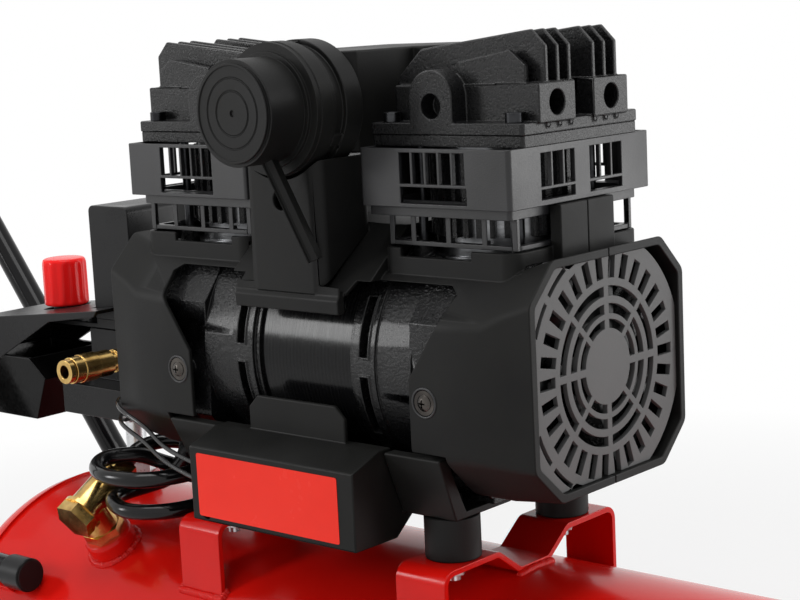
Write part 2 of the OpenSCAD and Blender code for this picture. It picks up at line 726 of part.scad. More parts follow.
module head_left() { color("dimgray") at_pump() mirror([1, 0, 0]) pump_head(); }
module head_right() { color("dimgray") at_pump() pump_head(); }
module head_bolts() {
    color("silver") at_pump() both_ends() {
        at_tie_rods() translate([0, 0, 50]) cylinder(r = 3, h = head_low - 50);
        at_head_bolts() translate([0, 0, cylinder_top]) cylinder(r = 3, h = head_flange - cylinder_top + 1);
        at_head_bolts() translate([0, 0, head_flange]) difference() {
            cylinder(r = 5.5, h = 6);
            translate([0, 0, 2.5]) cylinder(r = 2.9, h = 5, $fn = 6);
        }
    }
}

// ---- Intake and filter ----------------------------------------------------------------------------
module intake_shape(inset) {
    translate([0, -16]) offset_box(33 - inset, 41 - inset);
    translate([0, 38]) offset_box(47 - inset, 33 - inset);
}
// A rectangle with clipped corners, centred on the origin
module offset_box(x, y) {
    c = 6;
    polygon([[-x + c, -y], [x - c, -y], [x, -y + c], [x, y - c], [x - c, y], [-x + c, y],
             [-x, y - c], [-x, -y + c]]);
}
module intake_box() {
    stub_end = cylinder_x - 57;
    color("dimgray") at_pump() difference() {
        union() {
            translate([0, 0, 134]) linear_extrude(65) intake_shape(0);
            both_ends() rod_x_at(28, 164.5, 10, 44, stub_end);
        }
        translate([0, 0, 137]) linear_extrude(59) intake_shape(3);
        translate([0, 0, filter_z]) rod_y(20, -60, -50);
        both_ends() rod_x_at(28, 164.5, 7, 40, stub_end + 1);
    }
}
module filter_base() {
    color("dimgray") at_pump() translate([0, 0, filter_z]) difference() {
        union() {
            rod_y(42.8, -72.5, -57);
            rod_y(39.5, -80, -72);
            for (k = [0:2]) rotate([0, k * 120 + 30, 0]) translate([38, -80, -4]) cube([3.6, 8, 8]);
        }
        rod_y(37, -81, -62);
        rod_y(20, -64, -50);
    }
}
module filter_element() {
    color("khaki") at_pump() translate([0, 0, filter_z]) difference() {
        rod_y(33, -92, -62);
        rod_y(18, -93, -61);
    }
}
// The cap is round about the filter's axis. Its snorkel slopes down over the neck.
module filter_cap() {
    color("dimgray") at_pump() translate([0, 0, filter_z]) {
        difference() {
            union() {
                rod_y(42, -98, -80.6);
                rod_y(42.6, -94, -84);
                rod_y(36.5, -100.5, -97.9);
                rod_y(33.4, -129, -98);
                rod_y(31, -131, -128.9);
            }
            rod_y(38.5, -95, -80);
            rod_y(30, -126, -94);
            rod_y(29.4, -132, -130.2);
            rod_y(2, -133, -129);
            for (r = [14, 22]) difference() {
                rod_y(r + 0.5, -131, -129.8);
                rod_y(r - 0.5, -132, -129);
            }
        }
        difference() {
            snorkel(9.5, 7.5, 0);
            snorkel(5.5, 4.5, 1);
            translate([0, -4.4, 0]) snorkel(1.6, 2.4, 1);
            rod_y(30, -126, -94);
        }
    }
}
// A square tube of width w and depth d. It runs past both ends by the given length.
module snorkel(w, d, past) {
    a = [9, -112, -26];
    v = [26.5, 11.5, -67];
    translate(a) rotate([0, acos(v[2] / norm(v)), atan2(v[1], v[0])])
        translate([-d / 2, -w / 2, -past]) cube([d, w, norm(v) + 2 * past]);
}

// ---- Cowl -----------------------------------------------------------------------------------------
// A shell over the motor, split along the middle. It is wide at the centre with eight-sided mouths.
function section(y1, z1, y2, z2, y3, z3, y4, z4) =
    [[-y1, z1], [-y2, z2], [-y3, z3], [-y4, z4], [y4, z4], [y3, z3], [y2, z2], [y1, z1]];
middle_section = section(64.6, 62.6, 91, 36.8, 91, -48, 62, -76);
waist_section = section(64.6, 62.6, 88.4, 36.8, 90, -46, 62, -76);
collar_section = section(60.5, 68, 85.1, 43.6, 85.1, -48.5, 59, -75);
mouth_section = section(57.7, 74.2, 81.9, 50.3, 81.5, -50, 55.7, -74);
middle_inside = section(63.3, 59.6, 88, 35.6, 88, -46.8, 60.6, -73);
waist_inside = section(63.3, 59.6, 85.6, 35.6, 87, -44.8, 60.6, -73);
mouth_inside = section(55, 68.5, 76, 48, 76, -48, 53, -68.5);
// Rounds every corner of a closed outline
function soft(p, r) = let (n = len(p))
    [for (i = [0:n - 1]) each corner(p[(i + n - 1) % n], p[i], p[(i + 1) % n], r, 3)];
mouth_hole = soft(mouth_inside, 6);
outside = [[half, soft(mouth_section, 8)], [168, soft(collar_section, 9)],
           [154, soft(waist_section, 12)], [125, soft(middle_section, 14)]];
inside = [[half + 1, mouth_hole], [163, mouth_hole],
          [152, soft(waist_inside, 10)], [124, soft(middle_inside, 12)]];

// Joins the sections along X into one solid, mirrored to the other end
module loft(stations) {
    m = len(stations);
    all = [for (k = [0:m - 1]) [-stations[k][0], stations[k][1]],
           for (k = [m - 1:-1:0]) stations[k]];
    n = len(all[0][1]);
    points = [for (s = all) for (p = s[1]) [s[0], p.x, p.y]];
    sides = [for (i = [0:2 * m - 2]) for (j = [0:n - 1]) let (k = (j + 1) % n) each
        [[i * n + j, (i + 1) * n + k, i * n + k], [i * n + j, (i + 1) * n + j, (i + 1) * n + k]]];
    ends = [[for (j = [0:n - 1]) j], [for (j = [n - 1:-1:0]) (2 * m - 1) * n + j]];
    polyhedron(points, concat(sides, ends));
}
window = [[-98.5, -52], [-98.5, 0.3], [-122.9, 36.4], [-127, 52], [-120, 56.5], [-50, 56.5],
          [-44, 36.5], [44, 36.5], [50, 56.5], [120, 56.5], [127, 52], [122.9, 36.4],
          [98.5, 0.3], [98.5, -52]];
neck_r = 9;
module cowl() {
    difference() {
        union() {
            loft(outside);
            along_x(-62, 62) polygon([[-88, 48], [-88, 50], [-42, 88], [42, 88], [88, 50], [88, 48]]);
            both_ends() {
                translate([112.5, 0, 55]) rounded_plate(105, 133, 22.4, 10);
                translate([163.4, -28, 60]) cube([8.6, 56, 43]);
            }
        }
        loft(inside);
        along_x(-59, 59) polygon([[-85, 40], [-85, 48.6], [-41, 85], [41, 85], [85, 48.6], [85, 40]]);
        rod_x(shield_r + 1.2, -98, 98);
        both_ends() translate([112.5, 0, 50]) rounded_plate(99, 127, 40, 8);
        for (s = [0, 1]) mirror([0, s, 0]) {
            along_y(-100, -62) polygon(window);
            both_ends() translate([76, -70, 71.9]) cube([56, 8, 20]);
            both_ends() translate([screw_x, 0, screw_z]) {
                rod_y(8.2, -92, -90);
                rod_y(2.6, -95, -80);
            }
        }
        translate([-125, -100, -90]) cube([250, 200, 44.5]);
        translate([-155.5, -48, -80]) cylinder(r = 7.5, h = 12);
    }
}
module neck() {
    difference() {
        translate([0, -67.5, 48]) rounded_plate(66, 51, 85, neck_r);
        translate([0, -67.5, 40]) rounded_plate(60, 45, 95, neck_r - 3);
        translate([0, 0, filter_z]) rod_y(44.5, -100, -30);
        translate([0, 0, 107.4]) rod_y(6.5, -100, -80);
        along_x(-40, 40) polygon([[-91, 40], [-91, 52], [-41, 88.2], [-41, 40]]);
    }
}
// The thick edge over the middle of each window
module lip() {
    along_x(-46, 46) polygon([[-94.2, 36.5], [-94.2, 45], [-92.4, 48], [-92.4, 54], [-87.5, 50],
                              [-87.5, 36.5]]);
}
module cowl_front() {
    color("dimgray") at_pump() {
        intersection() {
            difference() {
                cowl();
                translate([0, -67.5, 40]) rounded_plate(60, 45, 95, neck_r - 3);
            }
            translate([-200, -120, -100]) cube([400, 119.8, 300]);
        }
        neck();
        lip();
    }
}
module cowl_rear() {
    color("dimgray") at_pump() {
        intersection() {
            cowl();
            translate([-200, 0.2, -100]) cube([400, 119.8, 300]);
        }
        mirror([0, 1, 0]) lip();
    }
}
module cowl_screws() {
    color("silver") at_pump() for (s = [0, 1]) mirror([0, s, 0]) both_ends()
        translate([screw_x, 0, screw_z]) {
            rod_y(7.8, -91, -90);
            rod_y(2, -90, -73);
            difference() {
                translate([0, -91, 0]) rotate([90, 0, 0]) intersection() {
                    translate([0, 0, -4.2]) sphere(6.9);
                    cylinder(r = 5.2, h = 4);
                }
                for (a = [0, 90]) translate([0, -92, 0]) rotate([0, a, 0]) cube([5, 4, 1.1], true);
            }
        }
}

// End grilles: arcs, spokes and a ring of straight slots. The left one is turned half a turn.
slot_rings = [[23.8, 29.3], [32.9, 39], [43.9, 50]];
slot_r0 = 55;
slot_r1 = 70;
module sector(a0, a1) {
    mid = (a0 + a1) / 2;
    polygon([[0, 0], 130 * [cos(a0), sin(a0)], 130 * [cos(mid), sin(mid)], 130 * [cos(a1), sin(a1)]]);
}
module flat_ring(r0, r1) {
    difference() {
        circle(r1);
        circle(r0);
    }
}
module grille_holes() {
    difference() {
        for (r = slot_rings) flat_ring(r[0], r[1]);
        for (a = [0, 90]) rotate(a) square([120, 5], center = true);
        for (a = [45, 135]) rotate(a) square([120, 4], center = true);
    }
    for (k = [0:grille_slots - 1]) rotate(k * 360 / grille_slots) translate([slot_r0, -3.3])
        square([slot_r1 - slot_r0, 6.6]);
    for (s = [-1, 1]) for (a = [22, 42]) intersection() {
        flat_ring(77, 80);
        sector(180 + s * a, 180 + s * (a + 16));
    }
}
module grille() {
    along_x(grille_x - 1, grille_x + 2.5) difference() {
        polygon(mouth_hole);
        grille_holes();
        difference() {
            translate([0, -100]) square([100, 200]);
            circle(80.5);
        }
    }
}
module grille_left() { color("dimgray") at_pump() rotate([0, 0, 180]) grille(); }
module grille_right() { color("dimgray") at_pump() grille(); }

// ---- Air line -------------------------------------------------------------------------------------
barrel_h = tank_r + 42;
nut_end = 43;
module check_valve() {
    color("gold") at_tank() on_shell(valve_x, valve_tilt) {
        translate([0, 0, tank_r + 4]) cylinder(r = 10.5, h = 12);
        translate([0, 0, tank_r + 14]) hexagon(27, 7);
        translate([0, 0, tank_r + 21]) cylinder(r = 13.2, h = 18);
        translate([0, 0, barrel_h]) {
            rod_y(13, -7, 31);
            rod_y(15.5, -9, -6);
            translate([0, -9, 0]) rotate([90, 0, 0]) hexagon(27, 9);
            translate([0, nut_end, 0]) rotate([90, 0, 0]) hexagon(22, 13);
        }
    }
}
module tube(points, r, n, sides, first, last) {
    skin(spline(points, n), r, sides, first, last);
}
// From the check valve's nut, up and twice round, then up to the outlet inside the cowl
nut_y = nut_end * cos(valve_tilt) - barrel_h * sin(valve_tilt);
nut_z = nut_end * sin(valve_tilt) + barrel_h * cos(valve_tilt) - axis_rise;
hose_points = [
    [valve_x, nut_y, nut_z], [-213, -45, -92], [-205, -27, -89], [-183, -18, -90], [-154, -23, -91],
    [-133, -43, -93], [-130, -72, -94], [-146, -98, -95], [-175, -106, -95], [-200, -97, -94],
    [-208, -82, -91], [-197, -62, -91], [-188, -45, -99], [-172, -31, -108], [-147, -38, -116],
    [-129, -60, -118], [-135, -90, -118], [-161, -104, -118], [-187, -95, -116], [-195, -75, -116],
    [-190, -56, -114], [-178, -50, -109], [-166, -49, -98], [-157, -48, -84], [-155.5, -48, -62]
];
wire_points = [
    [[-236, -30, -60], [-222, -46, -56], [-202, -70, -48], [-182, -86, -50], [-152, -90, -59],
     [-120, -98, -69], [-74, -104, -76]],
    [[-236, -34, -69], [-224, -48, -68], [-202, -70, -61], [-180, -86, -62], [-150, -93, -69],
     [-118, -101, -78], [-74, -106, -86]]
];
module discharge_hose() {
    color("black") at_pump() tube(hose_points, 5.7, 3, 10, [0, cos(valve_tilt), sin(valve_tilt)],
                                  [0, 0, 1]);
}
module signal_tubes() {
    color("black") at_pump() for (p = wire_points) tube(p, 1.6, 4, 8, [1, 0, 0], [1, 0, 0]);
}
box_low = -76;
box_top = -52;
module riser() {
    color("silver") at_tank() translate([riser_x, 0, 0]) {
        translate([0, 0, tank_r + 2]) cylinder(r = 8, h = box_low + axis_rise - tank_r - 2);
        translate([0, 0, tank_r + 12]) hexagon(24, 9);
        translate([0, 0, box_low + axis_rise - 9]) hexagon(24, 9);
    }
}

// ---- Controls -------------------------------------------------------------------------------------
coupler_x = -251;
coupler_z = -31;
manifold_front = -14;
module manifold() {
    color("dimgray") at_pump() difference() {
        union() {
            translate([-309, -38, box_low]) cube([73, 68, box_top - box_low]);
            translate([-300, manifold_front, box_top]) cube([64, 28, 40]);
        }
        translate([coupler_x, 0, coupler_z]) rod_y(6.6, manifold_front - 1, -4);
        translate([-305, -34, box_low + 3]) cube([20, 60, box_top - box_low - 6]);
    }
}
switch_low = box_top + 40;
knob_x = -354;
knob_y = 8;
module pressure_switch() {
    color("dimgray") at_pump() difference() {
        union() {
            translate([-267, 15, switch_low + 8]) rounded_box(46, 60, 89, 5);
            translate([-375, -13, switch_low]) cube([85, 42, 4]);
            translate([-292, -13, switch_low]) cube([48, 42, 9]);
            translate([knob_x, knob_y, switch_low + 3]) cylinder(r = 11, h = 11);
        }
        translate([knob_x, knob_y, switch_low + 2]) cylinder(r = 5.4, h = 20);
    }
}
module rounded_box(x, y, h, r) {
    along_y(-y / 2, y / 2) {
        translate([-x / 2, 0]) square([x, h - r]);
        translate([-x / 2 + r, 0]) square([x - 2 * r, h]);
        for (side = [-1, 1]) translate([side * (x / 2 - r), h - r]) circle(r);
    }
}
module switch_knob() {
    color("red") at_pump() translate([knob_x, knob_y, 0]) difference() {
        union() {
            cylinder(r = 17.5, h = 36);
            translate([0, 0, 35]) cylinder(r1 = 17.5, r2 = 15.5, h = 2.5);
            translate([0, 0, switch_low + 3]) cylinder(r = 5, h = 20);
            for (k = [0:17]) rotate(k * 20) translate([17.2, -0.8, 3]) cube([1, 1.6, 30]);
        }
        difference() {
            translate([0, 0, -1]) cylinder(r = 14.8, h = 12);
            translate([0, 0, -2]) cylinder(r = 5, h = 15);
        }
    }
}
console_left = -420;
module control_console() {
    color("dimgray") at_pump() {
        difference() {
            along_y(-40, 40) polygon([[-258, 8.2], [console_left, -9.3], [console_left, -39],
                                      [-385, -39], [-318, -5], [-262, 3]]);
            along_y(-37, 37) polygon([[-250, 6], [console_left + 3, -12.1], [console_left + 3, -45],
                                      [-385, -45], [-318, -8], [-255, -8]]);
            translate([-294, -18, -15]) cube([60, 66, 40]);
            translate([knob_x, knob_y, -20]) cylinder(r = 19, h = 30);
            translate([console_left - 1, 0, -60]) rod_x(12, -1, 10);
        }
        difference() {
            along_y(-38.5, 38.5) polygon([[console_left + 2, -37], [-349, -37], [-330, -52],
                                          [-344, -86], [console_left + 12, -86]]);
            along_y(-33.8, 33.8) polygon([[console_left + 6.5, -36], [-350, -36], [-333.5, -53],
                                          [-346.5, -83], [console_left + 14.5, -83]]);
            translate([0, 0, -62]) rod_x(9, console_left, -400);
        }
    }
}
regulator_z = -62;
module regulator_knob() {
    color("black") at_pump() translate([0, 0, regulator_z]) {
        rod_x(17, console_left - 22, console_left - 2);
        rod_x(8.9, console_left - 3, console_left + 9);
        for (k = [0:15]) rotate([k * 22.5, 0, 0]) translate([console_left - 20, -1, 16.6])
            cube([16, 2, 1.4]);
    }
}
sleeve_travel = 5;
module quick_coupler() {
    color("gold") at_pump() translate([coupler_x, 0, coupler_z]) difference() {
        union() {
            rod_y(6.5, -28, -5);
            translate([0, manifold_front, 0]) rotate([90, 0, 0]) hexagon(17, 9);
            rod_y(9, -33, -25);
            rod_y(7.5, -80, -30);
            rod_y(9, -80, -75);
        }
        rod_y(5, -81, -45);
        rod_y(3, -50, 0);
    }
}
module coupler_sleeve() {
    color("gold") at_pump() translate([coupler_x, 0, coupler_z]) difference() {
        union() {
            rod_y(10, -74.6, -33 - gap - sleeve_travel);
            rod_y(10.8, -66, -52);
        }
        rod_y(7.55, -76, -30);
    }
}

tank_shell();
tank_head_left();
tank_head_right();
tank_sockets();
inspection_plug();
drain_valve();
drain_knob();
wheel_bracket();
support_foot();
rubber_feet();
wheel_hub_front();
wheel_hub_rear();
tyre_front();
tyre_rear();
wheel_axles();
handle_tube();
handle_grip();
handle_caps();
handle_saddles();
handle_bolts();
pump_brackets();
rubber_mounts();
mount_bolts();
motor_cradle();
stator();
end_shield_left();
end_shield_right();
rotor_shaft();
fans();
motor_bearings();
cylinder_liners();
wobble_pistons();
air_guides();
valve_plates();
head_left();
head_right();
head_bolts();
intake_box();
filter_base();
filter_element();
filter_cap();
cowl_front();
cowl_rear();
grille_left();
grille_right();
cowl_screws();
check_valve();
discharge_hose();
signal_tubes();
riser();
manifold();
pressure_switch();
switch_knob();
regulator_knob();
quick_coupler();
coupler_sleeve();
control_console();
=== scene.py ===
# %% [markdown]
# # An oil-free air compressor on wheels
# A pump with two cylinders stands on a long red air tank. The solid parts come from a CAD model,
# so every size is already right. This lesson gives each part the surface of the real one: moulded
# plastic, painted castings, red enamel, brass, rubber and steel. Small details are added where the
# eye looks for them.

# %% Load the frame
import json
import math

import bmesh
import bpy
from mathutils import Matrix, Vector
from mathutils.bvhtree import BVHTree


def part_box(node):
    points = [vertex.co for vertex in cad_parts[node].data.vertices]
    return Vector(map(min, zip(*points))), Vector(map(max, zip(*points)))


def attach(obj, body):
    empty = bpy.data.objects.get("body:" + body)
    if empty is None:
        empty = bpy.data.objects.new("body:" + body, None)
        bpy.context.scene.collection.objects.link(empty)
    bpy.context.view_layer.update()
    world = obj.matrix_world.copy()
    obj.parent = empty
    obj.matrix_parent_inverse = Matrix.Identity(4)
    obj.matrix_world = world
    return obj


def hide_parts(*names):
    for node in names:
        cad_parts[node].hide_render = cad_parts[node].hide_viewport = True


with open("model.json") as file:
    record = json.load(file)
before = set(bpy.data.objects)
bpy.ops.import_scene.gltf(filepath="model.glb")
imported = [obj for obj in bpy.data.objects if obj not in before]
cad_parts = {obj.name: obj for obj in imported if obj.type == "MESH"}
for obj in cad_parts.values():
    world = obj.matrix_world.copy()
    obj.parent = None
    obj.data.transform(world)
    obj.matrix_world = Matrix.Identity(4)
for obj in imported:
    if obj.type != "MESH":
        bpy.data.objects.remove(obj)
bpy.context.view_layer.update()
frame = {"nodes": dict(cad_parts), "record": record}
nodes = frame["nodes"]
body_of_node = {n: b for b, ns in frame["record"]["behaviour"]["bodies"].items() for n in ns}
slot_of_node = {s["node"]: s["material_slot"] for s in frame["record"]["subparts"]}


def new_object(name, data):
    """Put a mesh, a lamp or a camera into the scene."""
    made = bpy.data.objects.new(name, data)
    bpy.context.scene.collection.objects.link(made)
    return made


# %% [markdown]
# ## Camera
# A product picture is taken from a little above, with a long lens, so that upright edges stay
# nearly parallel. The camera looks at the pump's right-hand end from the front.

# %% Place the camera
camera_place = (0.95166, -0.90072, 0.7197)
turn = math.radians(41.58)
tilt = math.radians(9.20)
roll = math.radians(-2.845)
look = Vector((-math.sin(turn) * math.cos(tilt), math.cos(turn) * math.cos(tilt), -math.sin(tilt)))
right = Vector((math.cos(turn), math.sin(turn), 0))
up = right.cross(look)
camera_x = right * math.cos(roll) + up * math.sin(roll)
camera_y = -right * math.sin(roll) + up * math.cos(roll)
axes = Matrix((camera_x, camera_y, -look)).transposed().to_4x4()
camera_data = bpy.data.cameras.new("camera")
camera_data.lens = 81.4
camera_data.sensor_width = 36
camera = new_object("camera", camera_data)
camera.matrix_world = Matrix.Translation(camera_place) @ axes
bpy.context.scene.camera = camera
print("camera at", [round(c, 3) for c in camera.location])

# %% [markdown]
# ## Helpers for materials
# Colours are written as sRGB hex values, the way a paint chart gives them, and one function turns
# them into the linear values that a shader needs. Another adds a node with its settings and links.
# Pattern sizes are given in millimetres: a noise with a scale of 1000 / size repeats about once in
# that size, because Object coordinates are in metres.

# %% Material helpers
def linear(code):
    values = [int(code[i:i + 2], 16) / 255 for i in (0, 2, 4)]
    return [v / 12.92 if v <= 0.04045 else ((v + 0.055) / 1.055) ** 2.4 for v in values] + [1]


def add(tree, kind, links=None, **settings):
    """One node: attributes and input values by name, links as {input: output socket}."""
    made = tree.nodes.new(kind)
    for name, value in settings.items():
        if hasattr(made, name):
            setattr(made, name, value)
        else:
            made.inputs[name.replace("_", " ")].default_value = value
    for name, socket in (links or {}).items():
        tree.links.new(socket, made.inputs[name])
    return made


def new_material(name, **shader):
    material = bpy.data.materials.new(name)
    material.use_nodes = True
    tree = material.node_tree
    bsdf = tree.nodes["Principled BSDF"]
    for socket, value in shader.items():
        bsdf.inputs[socket.replace("_", " ")].default_value = value
    place = add(tree, "ShaderNodeTexCoord").outputs["Object"]
    return material, tree, bsdf, place


def grain(tree, place, size_mm, detail=4, roughness=0.55, stretch=None):
    if stretch:
        place = add(tree, "ShaderNodeMapping", {"Vector": place}, Scale=stretch).outputs["Vector"]
    return add(tree, "ShaderNodeTexNoise", {"Vector": place}, Scale=1000 / size_mm, Detail=detail,
               Roughness=roughness).outputs["Fac"]


def between(tree, factor, low, high, from_min=0.35, from_max=0.65):
    return add(tree, "ShaderNodeMapRange", {"Value": factor}, From_Min=from_min, From_Max=from_max,
               To_Min=low, To_Max=high).outputs["Result"]


def blend_colours(tree, factor, one, two):
    mix = add(tree, "ShaderNodeMix", data_type="RGBA")
    tree.links.new(factor, mix.inputs[0])
    mix.inputs[6].default_value = linear(one)
    mix.inputs[7].default_value = linear(two)
    return mix.outputs[2]


def clouded(tree, bsdf, place, size_mm, detail, dark, light):
    """Let the base colour drift between two values, and hand back the noise that does it."""
    cloud = grain(tree, place, size_mm, detail=detail)
    tree.links.new(blend_colours(tree, between(tree, cloud, 0, 1), dark, light),
                   bsdf.inputs["Base Color"])
    return cloud


def bump(tree, bsdf, height, depth_mm, under=None):
    made = add(tree, "ShaderNodeBump", {"Height": height}, Strength=1.0, Distance=depth_mm / 1000)
    if under:
        tree.links.new(under, made.inputs["Normal"])
    tree.links.new(made.outputs["Normal"], bsdf.inputs["Normal"])
    return made.outputs["Normal"]


# %% [markdown]
# ## Moulded plastic
# The cowl, grilles and covers are injection-moulded nylon and ABS. The tool is spark-eroded, which
# leaves an even fine grain. It scatters the light, so highlights are broad and soft. The real
# grain is a fraction of a millimetre. It is drawn coarser here so that it shows.

# %% Plastics
def moulded_plastic(name, dark, light, roughness, grain_mm, depth_mm, coat=0.0, shine=0.2):
    material, tree, bsdf, place = new_material(name, IOR=1.5, Specular_IOR_Level=shine,
                                               Coat_Weight=coat, Coat_Roughness=0.12)
    cloud = clouded(tree, bsdf, place, 60, 3, dark, light)
    spots = grain(tree, place, grain_mm, detail=2)
    rough = add(tree, "ShaderNodeMath", {0: between(tree, cloud, -0.05, 0.05), 1: between(
        tree, spots, roughness - 0.04, roughness + 0.04)}, operation="ADD").outputs[0]
    tree.links.new(rough, bsdf.inputs["Roughness"])
    bump(tree, bsdf, spots, depth_mm)
    return material


nylon_black = moulded_plastic("grained_black_nylon", "121212", "191918", 0.48, 0.8, 0.05,
                              shine=0.14)
nylon_cradle = moulded_plastic("grained_black_nylon_cradle", "111110", "181817", 0.45, 0.8, 0.05,
                               shine=0.14)
# The grilles' mid grey is painted sheen. It stands in for the glossy reflection of the right-hand
# soft box on their faces.
grille_nylon_painted_sheen = moulded_plastic("grille_nylon_with_painted_sheen", "4E4E4E", "565656", 0.42, 0.8, 0.04)
nylon_guide = moulded_plastic("satin_black_nylon", "161617", "1E1E20", 0.38, 0.9, 0.08, shine=0.45)
abs_grey = moulded_plastic("black_satin_abs", "0D0D0E", "141415", 0.32, 0.9, 0.04, shine=0.2)
abs_black = moulded_plastic("black_abs", "0F0F10", "151516", 0.32, 0.8, 0.03, shine=0.2)
abs_gloss = moulded_plastic("glossy_black_abs", "080808", "0C0C0C", 0.1, 2.5, 0.01, shine=0.12)
abs_red = moulded_plastic("red_abs", "EC1A1A", "F41E1D", 0.2, 1.5, 0.01, coat=0.06, shine=0.1)
pvc_sleeve = moulded_plastic("black_pvc_sleeve", "0C0C0D", "121213", 0.2, 2.0, 0.02, shine=0.5)
print("plastics ready")

# %% [markdown]
# ## Red enamel
# The tank is rolled sheet, welded and then powder-coated. The coat flows out smooth but keeps a
# faint "orange peel" about 5 mm across, which ripples the reflections.

# %% Enamel
def enamel(name, dark, light, roughness):
    material, tree, bsdf, place = new_material(name, IOR=1.5, Specular_IOR_Level=0.12,
                                               Coat_Weight=0.14, Coat_Roughness=0.08)
    cloud = clouded(tree, bsdf, place, 120, 3, dark, light)
    tree.links.new(between(tree, cloud, roughness - 0.02, roughness + 0.02),
                   bsdf.inputs["Roughness"])
    peel = grain(tree, place, 5, detail=1)
    bump(tree, bsdf, peel, 0.04)
    return material


red_enamel = enamel("red_powder_coat", "CA110A", "D6150D", 0.22)
black_enamel = enamel("black_powder_coat", "0A0A0B", "101011", 0.16)
print("enamels ready")

# %% [markdown]
# ## Painted castings
# The cylinder heads and end shields are die-cast aluminium sprayed with black paint. The paint
# follows a coarse blasted skin, so small glints sit all over it. The stator between them is a stack
# of steel sheets under varnish, drawn as fine bands about 3 mm apart.

# %% Castings
def painted_casting(name, dark, light, roughness, grain_mm, depth_mm):
    material, tree, bsdf, place = new_material(name, IOR=1.5, Specular_IOR_Level=0.22,
                                               Coat_Weight=0.16, Coat_Roughness=0.1)
    cloud = clouded(tree, bsdf, place, 25, 5, dark, light)
    pits = grain(tree, place, grain_mm, detail=3, roughness=0.6)
    tree.links.new(between(tree, pits, roughness - 0.12, roughness + 0.12, 0.3, 0.7),
                   bsdf.inputs["Roughness"])
    bump(tree, bsdf, pits, depth_mm)
    return material


cast_head = painted_casting("painted_head_casting", "0B0B0C", "121213", 0.32, 1.4, 0.6)
cast_shield = painted_casting("painted_shield_casting", "0A0A0B", "101011", 0.2, 1.8, 0.8)

varnish, tree, bsdf, place = new_material("varnished_laminations", IOR=1.5, Coat_Weight=0.28,
                                          Coat_Roughness=0.16, Specular_IOR_Level=0.03)
sheets = add(tree, "ShaderNodeTexWave", {"Vector": place}, bands_direction="X",
             Scale=1000 / 1.6 / 6.283, Distortion=0.6, Detail=2)
tree.links.new(blend_colours(tree, sheets.outputs["Fac"], "0B0B0C", "141415"),
               bsdf.inputs["Base Color"])
runs = grain(tree, place, 3, stretch=(1, 0.15, 0.15))
tree.links.new(between(tree, runs, 0.16, 0.34), bsdf.inputs["Roughness"])
waves = bump(tree, bsdf, grain(tree, place, 18, detail=3), 0.5)
bump(tree, bsdf, sheets.outputs["Fac"], 0.05, under=waves)
print("castings ready")

# %% [markdown]
# ## Metals
# A metal's colour is its reflection, and its finish is in the roughness. Turned brass and zinc
# plate have fine rings or streaks; both are drawn as a noise that is stretched along the cut.

# %% Metals
def metal(name, dark, light, roughness, streak_mm, depth_mm, stretch=None):
    material, tree, bsdf, place = new_material(name, Metallic=1.0)
    cloud = clouded(tree, bsdf, place, 14, 4, dark, light)
    streaks = grain(tree, place, streak_mm, detail=3, stretch=stretch)
    tree.links.new(between(tree, streaks, roughness - 0.03, roughness + 0.04),
                   bsdf.inputs["Roughness"])
    bump(tree, bsdf, streaks, depth_mm)
    return material


brass = metal("turned_brass", "A8854A", "D3B271", 0.22, 2.0, 0.004)
zinc = metal("zinc_plated_steel", "B9BBBD", "D4D5D6", 0.3, 1.5, 0.02)
ground_steel = metal("ground_steel", "A3A4A6", "C2C3C4", 0.28, 1.2, 0.02, (1, 0.1, 0.1))
black_steel = metal("blackened_screw_steel", "2A2A2C", "424345", 0.3, 1.5, 0.02)
dark_zinc = metal("dark_zinc_screw_plate", "3A3735", "55514D", 0.24, 1.5, 0.01)
# The liners' aluminium is darkened to a dull grey. This is painted shade that stands in for the
# dark inside the air guides. The pistons share the material.
liner_metal_painted_shade = metal("honed_aluminium_darkened_as_painted_shade", "6E6F71", "8C8D8F", 0.3, 1.2, 0.03, (0.1, 0.1, 1))
print("metals ready")

# %% [markdown]
# ## Rubber and foam
# Moulded rubber is matt and takes up dust, so its colour varies a little. The filter is open foam
# with cells of about a millimetre.

# %% Rubbers and foam
def rubber(name, dark, light, roughness, grain_mm, depth_mm, shine=0.2):
    material, tree, bsdf, place = new_material(name, IOR=1.5, Specular_IOR_Level=shine)
    cloud = clouded(tree, bsdf, place, 20, 5, dark, light)
    tree.links.new(between(tree, cloud, roughness - 0.07, roughness + 0.07),
                   bsdf.inputs["Roughness"])
    bump(tree, bsdf, grain(tree, place, grain_mm, detail=3), depth_mm)
    return material


mount_rubber = rubber("moulded_mount_rubber", "0F0F0F", "161615", 0.55, 1.0, 0.05)
tyre_rubber = rubber("tyre_rubber", "181818", "232322", 0.7, 1.2, 0.12)
grip_rubber = rubber("grip_rubber", "181819", "232324", 0.62, 1.0, 0.08)
hose_rubber = rubber("polished_hose_rubber", "0A0A0B", "0F0F10", 0.16, 3.0, 0.03, shine=0.28)
foam, tree, bsdf, place = new_material("filter_foam", Roughness=0.9)
cells = add(tree, "ShaderNodeTexVoronoi", {"Vector": place}, Scale=1000 / 1.5).outputs["Distance"]
tree.links.new(blend_colours(tree, cells, "3A3228", "8A7A60"), bsdf.inputs["Base Color"])
bump(tree, bsdf, cells, 0.6)
print("rubbers ready")

# %% [markdown]
# ## Dress the CAD parts
# A part from CAD has perfectly sharp edges, and a sharp edge catches no light. Each part is copied,
# its loose triangles are joined, and a small bevel rounds every real edge. The bevel is as wide as
# the real radius: about 1 mm on the big mouldings, and a few tenths on machined metal. A few parts
# get none, because they are round already or too finely shaped for one. The copy then stands in for
# the CAD part.

# %% Function that dresses a part
edge_degrees = 28       # two faces that turn by more than this meet in a real edge


def shade(data, degrees):
    """Smooth shading, except where two faces turn by more than this angle."""
    data.shade_smooth()
    data.set_sharp_from_angle(angle=math.radians(degrees))


